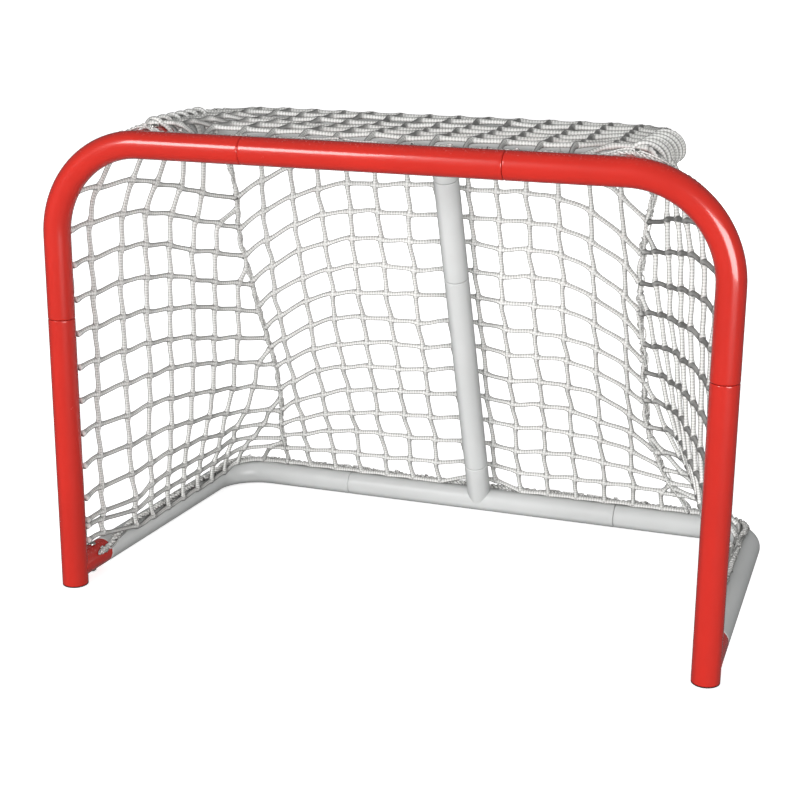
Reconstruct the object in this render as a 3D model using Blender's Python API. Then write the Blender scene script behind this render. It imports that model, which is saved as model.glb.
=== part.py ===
"""A small street hockey goal: a swaged steel tube frame with a laced rope net.

Metres, +Z up. The mouth faces -Y and X runs along the crossbar. The origin is on the floor,
below the middle of the goal. Routes are written from the posts' axis plane, at POST_Y.
"""

import math

import bmesh
import bpy
from mathutils import Matrix, Vector

# Frame
GOAL_WIDTH = 0.9144
GOAL_HEIGHT = 0.635
BASE_DEPTH = 0.490
SHELF_DEPTH = 0.271
TUBE_RADIUS = 0.018
TUBE_WALL = 0.0012
TUBE_SIDES = 16
FRONT_BEND_RADIUS = 0.125
FRONT_BEND_STEPS = 8
BASE_BEND_RADIUS = 0.072
BASE_BEND_STEPS = 5
BASE_TOE_IN = 0.0125
STUB_LENGTH = 0.072
STUB_HEIGHT = 0.025
POST_SEAM_HEIGHT = 0.381
CROSSBAR_HALF = 0.169
BASE_BACK_HALF = 0.218
SHELF_BACK_HALF = 0.169
TEE_LENGTH = 0.070
SUPPORT_LOWER_LENGTH = 0.338

# Joints
SPIGOT_LENGTH = 0.045
SWAGE_NECK = 0.006
FIT_CLEARANCE = 0.0003
SEAM_GAP = 0.0005
WELD_LAND = 0.002
CUT_MARGIN = 0.01
MERGE_DISTANCE = 0.000001

# Foot plugs
PLUG_FLANGE = 0.0015
PLUG_DEPTH = 0.018
PLUG_WALL = 0.002

# Bolts
BOLT_SETBACK = 0.027
BOLT_RADIUS = 0.0025
BOLT_HEAD_RADIUS = 0.0058
BOLT_HEAD_HEIGHT = 0.0034
BOLT_SIDES = 8
NUT_SIDES = 12
NUT_FLATS = 0.009
NUT_HEIGHT = 0.0035
THREAD_END = 0.001
DOME_ANGLES = (30, 60)

# Net
NET_CORD = 0.0048
NET_MESH = 0.0475
NET_LAND = 0.0009
NET_COLUMNS = 15
BACK_SAG = 0.016
SUPPORT_PASS_RISE = 0.008
SUPPORT_PASS_WIDTH = 0.045
SUPPORT_PASS_SHARE = 0.067
SEAM_BOW = 0.008
SEAM_FOOT_INSET = 0.1192
SEAM_CORD_RUNS = 8
TOP_EDGE_ANGLE = 29.0
SIDE_EDGE_ANGLE = 58.0
SIDE_EDGE_WRAP = 20.0
FOLD_TOP_ANGLE = 32.0
FOLD_BACK_ANGLE = 47.0
EDGE_LIFT = 0.0037
EDGE_EASE = 1 / 6
HEAD_EASE = 1 / 3
SIDE_NET_DROP = 0.027
STUB_EASE = 0.095
ROPE_DIAMETER = 0.005
ROPE_LAND = 0.0006
ROPE_STEP = 0.045
ROPE_BEND_STEP = 0.014
ROPE_STRAIGHT_ANGLE = 0.0001
LACE_ANGLE = 26.0
POST_ROPE_ANGLE = -9.0
CROSSBAR_ROPE_ANGLE = 62.0
BASE_ROPE_ANGLE = 38.0
BACK_ROPE_ANGLE = 28.0
ROPE_FOOT_HEIGHT = 0.060
ROPE_RISE_START = 0.40
ROPE_LIFT = 0.0022
ROPE_LIFT_WIDTH = 0.034

# Clips
CLIP_WIRE = 0.0011
CLIP_ROOM = 0.0006
CLIP_STEPS = 4
POST_CLIP_HEIGHTS = (0.16, 0.34)
CROSSBAR_CLIP_X = (-0.2, 0.2)
BASE_CLIP_Y = (0.14, 0.33)
BACK_CLIP_X = (-0.16, 0.16)

# Worked out from the sizes above
POST_Y = -BASE_DEPTH / 2
POST_X = GOAL_WIDTH / 2 - TUBE_RADIUS
TOP_Z = GOAL_HEIGHT - TUBE_RADIUS
BACK_Z = TUBE_RADIUS
SHELF_X = POST_X - FRONT_BEND_RADIUS
SEAM_FOOT_X = POST_X - SEAM_FOOT_INSET
FRONT_STRAIGHT = TOP_Z - FRONT_BEND_RADIUS
FRONT_BEND = FRONT_BEND_RADIUS * math.pi / 2
BORE_RADIUS = TUBE_RADIUS - TUBE_WALL
SPIGOT_RADIUS = BORE_RADIUS * math.cos(math.pi / TUBE_SIDES) - FIT_CLEARANCE
SPIGOT_BORE = SPIGOT_RADIUS - TUBE_WALL
CORD_RADIUS = NET_CORD / 2
ROPE_RADIUS = ROPE_DIAMETER / 2
NET_SEAT = TUBE_RADIUS + CORD_RADIUS + NET_LAND
ROPE_SEAT = TUBE_RADIUS + ROPE_RADIUS + ROPE_LAND
EDGE_SEAT = TUBE_RADIUS + CORD_RADIUS + EDGE_LIFT
STRAND_PITCH = NET_CORD + 2 * FIT_CLEARANCE
SLIVER = NET_MESH / 4
NET_CORNER_Y = STUB_LENGTH - BOLT_SETBACK + BOLT_HEAD_RADIUS + CORD_RADIUS + WELD_LAND

X_AXIS = Vector((1, 0, 0))
Y_AXIS = Vector((0, 1, 0))
Z_AXIS = Vector((0, 0, 1))


def at(x, y, z):
    """A point given from the posts' axis plane."""
    return Vector((x, POST_Y + y, z))


SUPPORT_FOOT = at(0, BASE_DEPTH, BACK_Z)
SUPPORT_HEAD = at(0, SHELF_DEPTH, TOP_Z)
SUPPORT_AXIS = (SUPPORT_HEAD - SUPPORT_FOOT).normalized()
SUPPORT_BACK = X_AXIS.cross(SUPPORT_AXIS) * -1
if SUPPORT_BACK.y < 0:
    SUPPORT_BACK.negate()


def clear_scene():
    for item in list(bpy.data.objects):
        bpy.data.objects.remove(item, do_unlink=True)


def make_material(name, colour, roughness, metallic):
    material = bpy.data.materials.new(name)
    material.use_nodes = True
    shader = material.node_tree.nodes["Principled BSDF"]
    shader.inputs["Base Color"].default_value = (*colour, 1)
    shader.inputs["Roughness"].default_value = roughness
    shader.inputs["Metallic"].default_value = metallic
    material.diffuse_color = (*colour, 1)
    return material


def make_object(name, bm, material, smooth_angle=40.0):
    """Turn a bmesh into a named object, shaded smooth except at its sharp edges."""
    bmesh.ops.recalc_face_normals(bm, faces=bm.faces)
    mesh = bpy.data.meshes.new(name)
    bm.to_mesh(mesh)
    bm.free()
    mesh.shade_smooth()
    mesh.set_sharp_from_angle(angle=math.radians(smooth_angle))
    item = bpy.data.objects.new(name, mesh)
    bpy.context.collection.objects.link(item)
    if material:
        mesh.materials.append(material)
    return item


def hide_helper(item):
    item.hide_render = True
    item.display_type = "WIRE"
    return item


def boolean(item, operation, helper):
    modifier = item.modifiers.new(helper.name, "BOOLEAN")
    modifier.operation = operation
    modifier.solver = "EXACT"
    modifier.object = helper


def rounded_route(start, corner, end, radius, steps):
    """Points from start to end with one bend of the given radius at the corner."""
    into = (corner - start).normalized()
    away = (end - corner).normalized()
    turn = into.angle(away)
    reach = radius * math.tan(turn / 2)
    bend_start = corner - into * reach
    axis = into.cross(away).normalized()
    centre = bend_start + axis.cross(into) * radius
    points = [start]
    for step in range(steps + 1):
        swing = Matrix.Rotation(turn * step / steps, 3, axis)
        points.append(centre + swing @ (bend_start - centre))
    points.append(end)
    return points


def headings(points):
    """The direction of the route at each point, halfway between its two runs."""
    runs = [(b - a).normalized() for a, b in zip(points, points[1:])]
    middle = [(a + b).normalized() for a, b in zip(runs, runs[1:])]
    return [runs[0]] + middle + [runs[-1]]


def ring(bm, centre, heading, side, radius, phase=0.0):
    """Vertices of one cross-section; the first lies along side, turned by phase."""
    across = (side - heading * side.dot(heading)).normalized()
    other = heading.cross(across)
    verts = []
    for number in range(TUBE_SIDES):
        angle = 2 * math.pi * number / TUBE_SIDES + phase
        offset = across * math.cos(angle) + other * math.sin(angle)
        verts.append(bm.verts.new(centre + offset * radius))
    return verts


def skin(bm, rings, closed):
    pairs = list(zip(rings, rings[1:]))
    if closed:
        pairs.append((rings[-1], rings[0]))
    for first, second in pairs:
        for number in range(len(first)):
            following = (number + 1) % len(first)
            bm.faces.new((first[number], first[following], second[following], second[number]))
    if not closed:
        bm.faces.new(rings[0])
        bm.faces.new(rings[-1])


def end_sections(point, outward, spigot, overrun):
    """Outer and inner sections beyond one cut end, as (point, radius) from the tube outwards."""
    if not spigot:
        outer = [(point, TUBE_RADIUS)]
        inner = [(point + outward * overrun, BORE_RADIUS)]
        return outer, inner
    tip = point + outward * SPIGOT_LENGTH
    outer = [
        (point, TUBE_RADIUS),
        (point, SPIGOT_RADIUS),
        (tip, SPIGOT_RADIUS),
    ]
    inner = [
        (point - outward * SWAGE_NECK, BORE_RADIUS),
        (point, SPIGOT_BORE),
        (tip + outward * overrun, SPIGOT_BORE),
    ]
    return outer, inner


def tube_sections(points, start_spigot, end_spigot, overrun=0.0):
    """The outer and inner sections of a tube, each as (point, heading, radius)."""
    aims = headings(points)
    start_outer, start_inner = end_sections(points[0], -aims[0], start_spigot, overrun)
    end_outer, end_inner = end_sections(points[-1], aims[-1], end_spigot, overrun)
    middle = list(zip(points, aims))[1:-1]
    outer = [(p, aims[0], r) for p, r in reversed(start_outer)]
    outer += [(p, aim, TUBE_RADIUS) for p, aim in middle]
    outer += [(p, aims[-1], r) for p, r in end_outer]
    inner = [(p, aims[0], r) for p, r in reversed(start_inner)]
    inner += [(p, aim, BORE_RADIUS) for p, aim in middle]
    inner += [(p, aims[-1], r) for p, r in end_inner]
    return outer, inner


def solid_from(name, sections, side, phase=0.0):
    bm = bmesh.new()
    rings = [ring(bm, p, aim, side, r, phase) for p, aim, r in sections]
    skin(bm, rings, closed=False)
    return make_object(name, bm, None)


def make_tube(name, material, points, side, start_spigot=False, end_spigot=False):
    """A hollow tube along the points, cut square or swaged to a spigot at each end."""
    outer, inner = tube_sections(points, start_spigot, end_spigot)
    bm = bmesh.new()
    rings = [ring(bm, p, aim, side, r) for p, aim, r in outer + inner[::-1]]
    skin(bm, rings, closed=True)
    return make_object(name, bm, material)


def make_branched_tube(name, material, route, branch):
    """A tube with a shorter tube welded square to its side, both hollow.

    route is (points, side, start_spigot, end_spigot); branch is (root, tip, side, spigot).
    """
    points, side, start_spigot, end_spigot = route
    root, tip, branch_side, branch_spigot = branch
    outer, _ = tube_sections(points, start_spigot, end_spigot)
    _, bore = tube_sections(points, start_spigot, end_spigot, CUT_MARGIN)
    main = solid_from(name, outer, side)
    main.data.materials.append(material)
    half_step = math.pi / TUBE_SIDES
    heading = (tip - root).normalized()
    stub_outer, _ = tube_sections([root, tip], False, branch_spigot)
    bore_root = root + heading * (TUBE_RADIUS + WELD_LAND)
    _, stub_bore = tube_sections([bore_root, tip], False, branch_spigot, CUT_MARGIN)
    stub_bore[0] = (bore_root, heading, BORE_RADIUS)
    stub = hide_helper(solid_from(name + "_stub", stub_outer, branch_side, half_step))
    tube_cut = hide_helper(solid_from(name + "_bore", bore, side))
    stub_cut = hide_helper(solid_from(name + "_stub_bore", stub_bore, branch_side, half_step))
    boolean(main, "UNION", stub)
    boolean(main, "DIFFERENCE", tube_cut)
    boolean(main, "DIFFERENCE", stub_cut)
    return main


def round_cutter(name, centre, radius, length):
    bm = bmesh.new()
    bmesh.ops.create_cone(
        bm,
        cap_ends=True,
        segments=BOLT_SIDES,
        radius1=radius,
        radius2=radius,
        depth=length,
        matrix=Matrix.Translation(centre),
    )
    return hide_helper(make_object(name, bm, None))


def base_heading(sign):
    """Direction of a base side tube, from the post to the back corner."""
    start = at(sign * POST_X, 0, STUB_HEIGHT)
    corner = at(sign * (POST_X - BASE_TOE_IN), BASE_DEPTH, BACK_Z)
    return (corner - start).normalized()


def lower_stub_tip(sign):
    return at(sign * POST_X, 0, STUB_HEIGHT) + base_heading(sign) * STUB_LENGTH


def upper_stub_tip(sign):
    return at(sign * SHELF_X, STUB_LENGTH, TOP_Z)


def bolt_centre(tip, heading):
    """Where a bolt crosses the axis of its stub."""
    return tip - heading * BOLT_SETBACK


def drill_for_bolt(item, centre):
    """A clearance hole straight down through the tube at one bolt."""
    length = 2 * (TUBE_RADIUS + CUT_MARGIN)
    hole = round_cutter(item.name + "_bolt_hole", centre, BOLT_RADIUS + FIT_CLEARANCE, length)
    boolean(item, "DIFFERENCE", hole)


def make_post(sign, name, material):
    foot = at(sign * POST_X, 0, PLUG_FLANGE + FIT_CLEARANCE)
    seam = at(sign * POST_X, 0, POST_SEAM_HEIGHT - SEAM_GAP / 2)
    root = at(sign * POST_X, 0, STUB_HEIGHT)
    tip = lower_stub_tip(sign) - base_heading(sign) * SEAM_GAP / 2
    route = ([foot, seam], X_AXIS, False, True)
    post = make_branched_tube(name, material, route, (root, tip, X_AXIS, False))
    drill_for_bolt(post, bolt_centre(lower_stub_tip(sign), base_heading(sign)))


def make_top_corner(sign, name, material):
    seam = at(sign * POST_X, 0, POST_SEAM_HEIGHT + SEAM_GAP / 2)
    corner = at(sign * POST_X, 0, TOP_Z)
    end = at(sign * (CROSSBAR_HALF + SEAM_GAP / 2), 0, TOP_Z)
    points = rounded_route(seam, corner, end, FRONT_BEND_RADIUS, FRONT_BEND_STEPS)
    root = at(sign * SHELF_X, 0, TOP_Z)
    tip = upper_stub_tip(sign) - Y_AXIS * SEAM_GAP / 2
    top = make_branched_tube(name, material, (points, Y_AXIS, False, False), (root, tip, X_AXIS, False))
    drill_for_bolt(top, bolt_centre(upper_stub_tip(sign), Y_AXIS))


def make_crossbar(material):
    half = CROSSBAR_HALF - SEAM_GAP / 2
    ends = [at(-half, 0, TOP_Z), at(half, 0, TOP_Z)]
    make_tube("crossbar", material, ends, Y_AXIS, True, True)


def make_base_corner(sign, name, material):
    heading = base_heading(sign)
    start = lower_stub_tip(sign) + heading * SEAM_GAP / 2
    corner = at(sign * (POST_X - BASE_TOE_IN), BASE_DEPTH, BACK_Z)
    end = at(sign * (BASE_BACK_HALF + SEAM_GAP / 2), BASE_DEPTH, BACK_Z)
    points = rounded_route(start, corner, end, BASE_BEND_RADIUS, BASE_BEND_STEPS)
    tube = make_tube(name, material, points, Z_AXIS, True, False)
    drill_for_bolt(tube, bolt_centre(lower_stub_tip(sign), heading))


def make_shelf_corner(sign, name, material):
    start = upper_stub_tip(sign) + Y_AXIS * SEAM_GAP / 2
    corner = at(sign * SHELF_X, SHELF_DEPTH, TOP_Z)
    end = at(sign * (SHELF_BACK_HALF + SEAM_GAP / 2), SHELF_DEPTH, TOP_Z)
    points = rounded_route(start, corner, end, BASE_BEND_RADIUS, BASE_BEND_STEPS)
    tube = make_tube(name, material, points, Z_AXIS, True, False)
    drill_for_bolt(tube, bolt_centre(upper_stub_tip(sign), Y_AXIS))


def make_tee_tube(name, material, centre, half_length, branch_heading):
    """A straight back tube, swaged at both ends, with a swaged tee stub for the support."""
    half = half_length - SEAM_GAP / 2
    ends = [centre - X_AXIS * half, centre + X_AXIS * half]
    tip = centre + branch_heading * (TEE_LENGTH - SEAM_GAP / 2)
    make_branched_tube(name, material, (ends, SUPPORT_AXIS, True, True), (centre, tip, X_AXIS, True))


def make_supports(material):
    low = SUPPORT_FOOT + SUPPORT_AXIS * (TEE_LENGTH + SEAM_GAP / 2)
    seam = SUPPORT_FOOT + SUPPORT_AXIS * (TEE_LENGTH + SUPPORT_LOWER_LENGTH)
    high = SUPPORT_HEAD - SUPPORT_AXIS * (TEE_LENGTH + SEAM_GAP / 2)
    below = seam - SUPPORT_AXIS * SEAM_GAP / 2
    above = seam + SUPPORT_AXIS * SEAM_GAP / 2
    make_tube("support_lower", material, [low, below], X_AXIS, False, True)
    make_tube("support_upper", material, [above, high], X_AXIS, False, False)


def revolve(bm, profile, sides, centre=Vector((0, 0, 0))):
    """Spin a profile of (radius, height) points, which starts and ends on the axis."""
    verts = [bm.verts.new(centre + Vector((r, 0, z))) for r, z in profile]
    edges = [bm.edges.new(pair) for pair in zip(verts, verts[1:])]
    bmesh.ops.spin(
        bm,
        geom=verts + edges,
        cent=centre,
        axis=Z_AXIS,
        angle=2 * math.pi,
        steps=sides,
        use_duplicate=False,
    )
    bmesh.ops.remove_doubles(bm, verts=bm.verts, dist=MERGE_DISTANCE)


def make_foot_plug(sign, name, material):
    """A cup pushed into the post, with a flange that covers the tube's cut end."""
    body = BORE_RADIUS * math.cos(math.pi / TUBE_SIDES) - FIT_CLEARANCE
    top = PLUG_FLANGE + PLUG_DEPTH
    profile = [
        (0, 0),
        (TUBE_RADIUS - PLUG_FLANGE / 2, 0),
        (TUBE_RADIUS, PLUG_FLANGE / 2),
        (TUBE_RADIUS, PLUG_FLANGE),
        (body, PLUG_FLANGE),
        (body, top),
        (body - PLUG_WALL, top),
        (body - PLUG_WALL, PLUG_FLANGE + PLUG_WALL),
        (0, PLUG_FLANGE + PLUG_WALL),
    ]
    bm = bmesh.new()
    revolve(bm, profile, TUBE_SIDES)
    plug = make_object(name, bm, material)
    plug.location = at(sign * POST_X, 0, 0)


def bolt_mesh(material):
    """A dome head bolt; its origin is where it crosses the tube's axis."""
    seat = TUBE_RADIUS + FIT_CLEARANCE
    end = TUBE_RADIUS + FIT_CLEARANCE + NUT_HEIGHT + THREAD_END
    profile = [(0, seat + BOLT_HEAD_HEIGHT)]
    for degrees in DOME_ANGLES:
        lean = math.radians(degrees)
        height = seat + BOLT_HEAD_HEIGHT * math.cos(lean)
        profile.append((BOLT_HEAD_RADIUS * math.sin(lean), height))
    profile += [(BOLT_HEAD_RADIUS, seat), (BOLT_RADIUS, seat), (BOLT_RADIUS, -end), (0, -end)]
    bm = bmesh.new()
    revolve(bm, profile, BOLT_SIDES)
    return make_object("bolt", bm, material)


def nut_mesh(material):
    """A hexagon nut under the tube; its origin is on the tube's axis."""
    bm = bmesh.new()
    top = -TUBE_RADIUS - FIT_CLEARANCE
    hole = BOLT_RADIUS + FIT_CLEARANCE
    rings = []
    for radius_of, height in (
        (hex_radius, top),
        (hex_radius, top - NUT_HEIGHT),
        (lambda angle: hole, top - NUT_HEIGHT),
        (lambda angle: hole, top),
    ):
        verts = []
        for number in range(NUT_SIDES):
            angle = 2 * math.pi * number / NUT_SIDES
            radius = radius_of(angle)
            verts.append(bm.verts.new((radius * math.cos(angle), radius * math.sin(angle), height)))
        rings.append(verts)
    skin(bm, rings, closed=True)
    return make_object("nut", bm, material)


def hex_radius(angle):
    """Distance from the axis to a hexagon's edge in one direction."""
    sixth = math.pi / 3
    return NUT_FLATS / 2 / math.cos((angle + sixth / 2) % sixth - sixth / 2)


def place_fasteners(material):
    """One bolt and one nut on each red stub, sharing two meshes."""
    bolt = bolt_mesh(material)
    nut = nut_mesh(material)
    places = {
        "lower_left": bolt_centre(lower_stub_tip(-1), base_heading(-1)),
        "lower_right": bolt_centre(lower_stub_tip(1), base_heading(1)),
        "upper_left": bolt_centre(upper_stub_tip(-1), Y_AXIS),
        "upper_right": bolt_centre(upper_stub_tip(1), Y_AXIS),
    }
    for pattern in (bolt, nut):
        for place, centre in places.items():
            copy = bpy.data.objects.new(pattern.name + "_" + place, pattern.data)
            copy.location = centre
            bpy.context.collection.objects.link(copy)
        bpy.data.objects.remove(pattern, do_unlink=True)


def on_tube(centre, first, second, degrees, radius):
    """A point beside a tube's axis, turned from the first direction towards the second."""
    angle = math.radians(degrees)
    return centre + (first * math.cos(angle) + second * math.sin(angle)) * radius


def front_axis_point(distance):
    """(point, outward) on the right half of the front frame, from the post's foot upwards."""
    if distance <= FRONT_STRAIGHT:
        return at(POST_X, 0, distance), X_AXIS
    if distance <= FRONT_STRAIGHT + FRONT_BEND:
        angle = (distance - FRONT_STRAIGHT) / FRONT_BEND_RADIUS
        outward = X_AXIS * math.cos(angle) + Z_AXIS * math.sin(angle)
        return at(SHELF_X, 0, FRONT_STRAIGHT) + outward * FRONT_BEND_RADIUS, outward
    return at(SHELF_X - (distance - FRONT_STRAIGHT - FRONT_BEND), 0, TOP_Z), Z_AXIS


def smooth_step(value):
    value = min(max(value, 0.0), 1.0)
    return value * value * (3 - 2 * value)


def bump(distance, width):
    """1 at zero distance, falling smoothly to 0 at the given width."""
    return smooth_step(1 - abs(distance) / width)


def front_rope_angle(distance):
    """The rope lies straight behind the post and rolls towards the top behind the crossbar."""
    rise = FRONT_STRAIGHT + FRONT_BEND - ROPE_RISE_START
    share = smooth_step((distance - ROPE_RISE_START) / rise)
    return POST_ROPE_ANGLE + (CROSSBAR_ROPE_ANGLE - POST_ROPE_ANGLE) * share


def front_rope_point(distance):
    axis, outward = front_axis_point(distance)
    point = on_tube(axis, Y_AXIS, outward, front_rope_angle(distance), ROPE_SEAT)
    lift = ROPE_LIFT * bump(axis.x - SHELF_X, ROPE_LIFT_WIDTH)
    return point + Z_AXIS * lift


def front_length():
    """Length of the front frame's axis from the floor to its middle."""
    return FRONT_STRAIGHT + FRONT_BEND + SHELF_X


def base_turn():
    """How the right side tube turns into the back tube: (corner, turn, reach, straight)."""
    corner = at(POST_X - BASE_TOE_IN, BASE_DEPTH, BACK_Z)
    turn = base_heading(1).angle(-X_AXIS)
    reach = BASE_BEND_RADIUS * math.tan(turn / 2)
    straight = (corner - at(POST_X, 0, STUB_HEIGHT)).length - reach
    return corner, turn, reach, straight


def base_axis_point(distance):
    """(point, outward) on the right half of the base, from the post to the middle of the back."""
    heading = base_heading(1)
    start = at(POST_X, 0, STUB_HEIGHT)
    corner, turn, reach, straight = base_turn()
    bend = BASE_BEND_RADIUS * turn
    axis = heading.cross(-X_AXIS).normalized()
    if distance <= straight:
        return start + heading * distance, heading.cross(axis)
    if distance <= straight + bend:
        swing = Matrix.Rotation((distance - straight) / BASE_BEND_RADIUS, 3, axis)
        centre = start + heading * straight + axis.cross(heading) * BASE_BEND_RADIUS
        outward = swing @ heading.cross(axis)
        return centre + outward * BASE_BEND_RADIUS, outward
    return corner - X_AXIS * (reach + distance - straight - bend), Y_AXIS


def base_length(foot_x=0.0):
    """Length of the base's axis from a post to the given place on the back tube."""
    corner, turn, reach, straight = base_turn()
    return straight + BASE_BEND_RADIUS * turn + corner.x - reach - foot_x


def base_rope_angle(distance):
    """The rope lies outside the top of the side tubes and behind the top of the back tube."""
    _, outward = base_axis_point(distance)
    return BASE_ROPE_ANGLE + (BACK_ROPE_ANGLE - BASE_ROPE_ANGLE) * max(outward.y, 0.0)


def behind_support(height, room):
    """A point straight behind the support at a height, with room behind its wall."""
    foot = SUPPORT_FOOT + SUPPORT_BACK * (TUBE_RADIUS + room)
    return foot + SUPPORT_AXIS * ((height - foot.z) / SUPPORT_AXIS.z)


def base_rope_point(distance):
    axis, outward = base_axis_point(distance)
    point = on_tube(axis, Z_AXIS, outward, base_rope_angle(distance), ROPE_SEAT)
    share = bump(axis.x, SUPPORT_PASS_WIDTH)
    over = behind_support(BACK_Z + TUBE_RADIUS, ROPE_RADIUS + FIT_CLEARANCE)
    over.x = point.x
    return point.lerp(over, smooth_step(share * 2))


def spaced(start, end, step):
    count = max(2, round(abs(end - start) / step))
    return [start + (end - start) * number / count for number in range(count + 1)]


def mirrored(points):
    return [Vector((-p.x, p.y, p.z)) for p in points]


def make_cord(name, material, points, diameter, resolution=1):
    """A round cord along the points, with closed ends."""
    curve = bpy.data.curves.new(name, "CURVE")
    curve.dimensions = "3D"
    curve.bevel_depth = diameter / 2
    curve.bevel_resolution = resolution
    curve.use_fill_caps = True
    spline = curve.splines.new("POLY")
    spline.points.add(len(points) - 1)
    for target, point in zip(spline.points, points):
        target.co = (*point, 1)
    curve.materials.append(material)
    cord = bpy.data.objects.new(name, curve)
    bpy.context.collection.objects.link(cord)
    return cord


def rope_half(point_at, axis_at, start, middle):
    """Points along a rope to its middle, closer together where the tube bends or the rope lifts."""
    points = [point_at(start)]
    distance = start
    while distance < middle - ROPE_BEND_STEP:
        _, before = axis_at(distance)
        _, after = axis_at(min(distance + ROPE_STEP, middle))
        rise = point_at(distance + ROPE_STEP / 2) - (point_at(distance) + point_at(distance + ROPE_STEP)) / 2
        curved = before.angle(after) > ROPE_STRAIGHT_ANGLE or rise.length > ROPE_LAND / 4
        distance += ROPE_BEND_STEP if curved else ROPE_STEP
        if distance < middle - ROPE_BEND_STEP / 2:
            points.append(point_at(distance))
    return points + [point_at(middle)]


def make_front_rope(material):
    half = rope_half(front_rope_point, front_axis_point, ROPE_FOOT_HEIGHT, front_length())
    make_cord("front_rope", material, half + mirrored(half[:-1])[::-1], ROPE_DIAMETER)


def make_base_rope(material):
    half = rope_half(base_rope_point, base_axis_point, 2 * TUBE_RADIUS, base_length())
    make_cord("base_rope", material, half + mirrored(half[:-1])[::-1], ROPE_DIAMETER)


def fold_point(x, degrees):
    """A point on the net's fold, round the outside of the shelf's back tube and its bends."""
    lean = math.radians(degrees)
    out = EDGE_SEAT * math.sin(lean)
    z = TOP_Z + EDGE_SEAT * math.cos(lean)
    bend_x = SHELF_X - BASE_BEND_RADIUS
    around = BASE_BEND_RADIUS + out
    beyond = min(max(abs(x) - bend_x, 0.0), around)
    return at(x, SHELF_DEPTH - BASE_BEND_RADIUS + math.sqrt(around**2 - beyond**2), z)


def head_half_width():
    """Half the width of the top and back panels at the fold."""
    return SHELF_X + EDGE_SEAT * math.sin(math.radians(TOP_EDGE_ANGLE))


def hang(foot, fold, share):
    """A point between foot and fold, drawn forward a little by the net's weight."""
    point = foot.lerp(fold, share)
    point.y -= BACK_SAG * math.sin(math.pi * share) ** 2
    return point


def foot_point(x):
    angle = BACK_ROPE_ANGLE - LACE_ANGLE
    return on_tube(at(x, BASE_DEPTH, BACK_Z), Z_AXIS, Y_AXIS, angle, NET_SEAT)


def back_border(share, offset):
    """A point on the back panel's right border, from its foot (0) to the fold (1)."""
    head_x = head_half_width()
    point = hang(foot_point(0), fold_point(head_x, FOLD_BACK_ANGLE), share)
    point.x = SEAM_FOOT_X + (head_x - SEAM_FOOT_X) * share - SEAM_BOW * math.sin(math.pi * share) + offset
    return point


def back_panel_point(across, share):
    """The back net: held at both ends, it sags forward but passes behind the support."""
    side = 2 * across - 1
    point = hang(foot_point(0), fold_point(side * head_half_width(), FOLD_BACK_ANGLE), share)
    point.x = back_border(share, 0.0).x * side
    near = smooth_step(2 * bump(point.x, SUPPORT_PASS_WIDTH))
    point.z += SUPPORT_PASS_RISE * near * max(0.0, 1 - share / SUPPORT_PASS_SHARE)
    pass_y = behind_support(point.z, CORD_RADIUS + NET_LAND).y
    if share < 1:
        point.y += max(pass_y - point.y, 0.0) * near
    return point


def rows_for(length):
    return max(1, round(length / NET_MESH))


def lattice(name, material, bm):
    """Turn the faces of a bmesh into the openings of a knotless cord net."""
    panel = make_object(name, bm, material)
    modifier = panel.modifiers.new("cords", "WIREFRAME")
    modifier.thickness = NET_CORD
    modifier.use_boundary = True
    modifier.use_replace = True
    modifier.use_even_offset = False
    return panel


def grid_panel(name, material, columns, rows, place):
    bm = bmesh.new()
    bmesh.ops.create_grid(bm, x_segments=columns, y_segments=rows, size=0.5)
    for vert in bm.verts:
        vert.co = place(vert.co.x + 0.5, vert.co.y + 0.5)
    return lattice(name, material, bm)


def make_back_panel(material):
    length = (fold_point(0, FOLD_BACK_ANGLE) - foot_point(0)).length
    grid_panel("net_back", material, NET_COLUMNS, rows_for(length), back_panel_point)


def top_panel_point(across, share):
    """The top net lies on the shelf tubes; its front edge is behind the crossbar."""
    x = head_half_width() * (2 * across - 1)
    front_angle = 90 - CROSSBAR_ROPE_ANGLE + LACE_ANGLE
    front = on_tube(at(x, 0, TOP_Z), Z_AXIS, Y_AXIS, front_angle, NET_SEAT)
    on_stub = at(x, NET_CORNER_Y, TOP_Z + NET_SEAT)
    front = front.lerp(on_stub, smooth_step(2 * bump(abs(x) - SHELF_X, STUB_EASE)))
    point = front.lerp(fold_point(x, FOLD_TOP_ANGLE), share)
    if 0 < share < 1:
        point.z = TOP_Z + NET_SEAT
    return point


def make_top_panel(material):
    length = SHELF_DEPTH - TUBE_RADIUS
    grid_panel("net_top", material, NET_COLUMNS, rows_for(length), top_panel_point)


def side_front(share):
    """The side panel's front edge, up the back of the post and round the bend."""
    end = FRONT_STRAIGHT + FRONT_BEND - SIDE_NET_DROP
    distance = ROPE_FOOT_HEIGHT + (end - ROPE_FOOT_HEIGHT) * share
    axis, outward = front_axis_point(distance)
    angle = front_rope_angle(distance) - LACE_ANGLE
    return on_tube(axis, Y_AXIS, outward, angle, NET_SEAT)


def side_rear(share):
    """The side panel's rear edge, one seam cord outside the back panel's border."""
    return back_border(share, 2 * STRAND_PITCH)


def side_bottom(share):
    """The side panel's lower edge, on the base's side tube and round its bend."""
    end = base_length(SEAM_FOOT_X + 2 * STRAND_PITCH)
    start = STUB_LENGTH
    distance = start + (end - start) * share
    axis, outward = base_axis_point(distance)
    angle = base_rope_angle(distance) - LACE_ANGLE
    return on_tube(axis, Z_AXIS, outward, angle, NET_SEAT)


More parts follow.
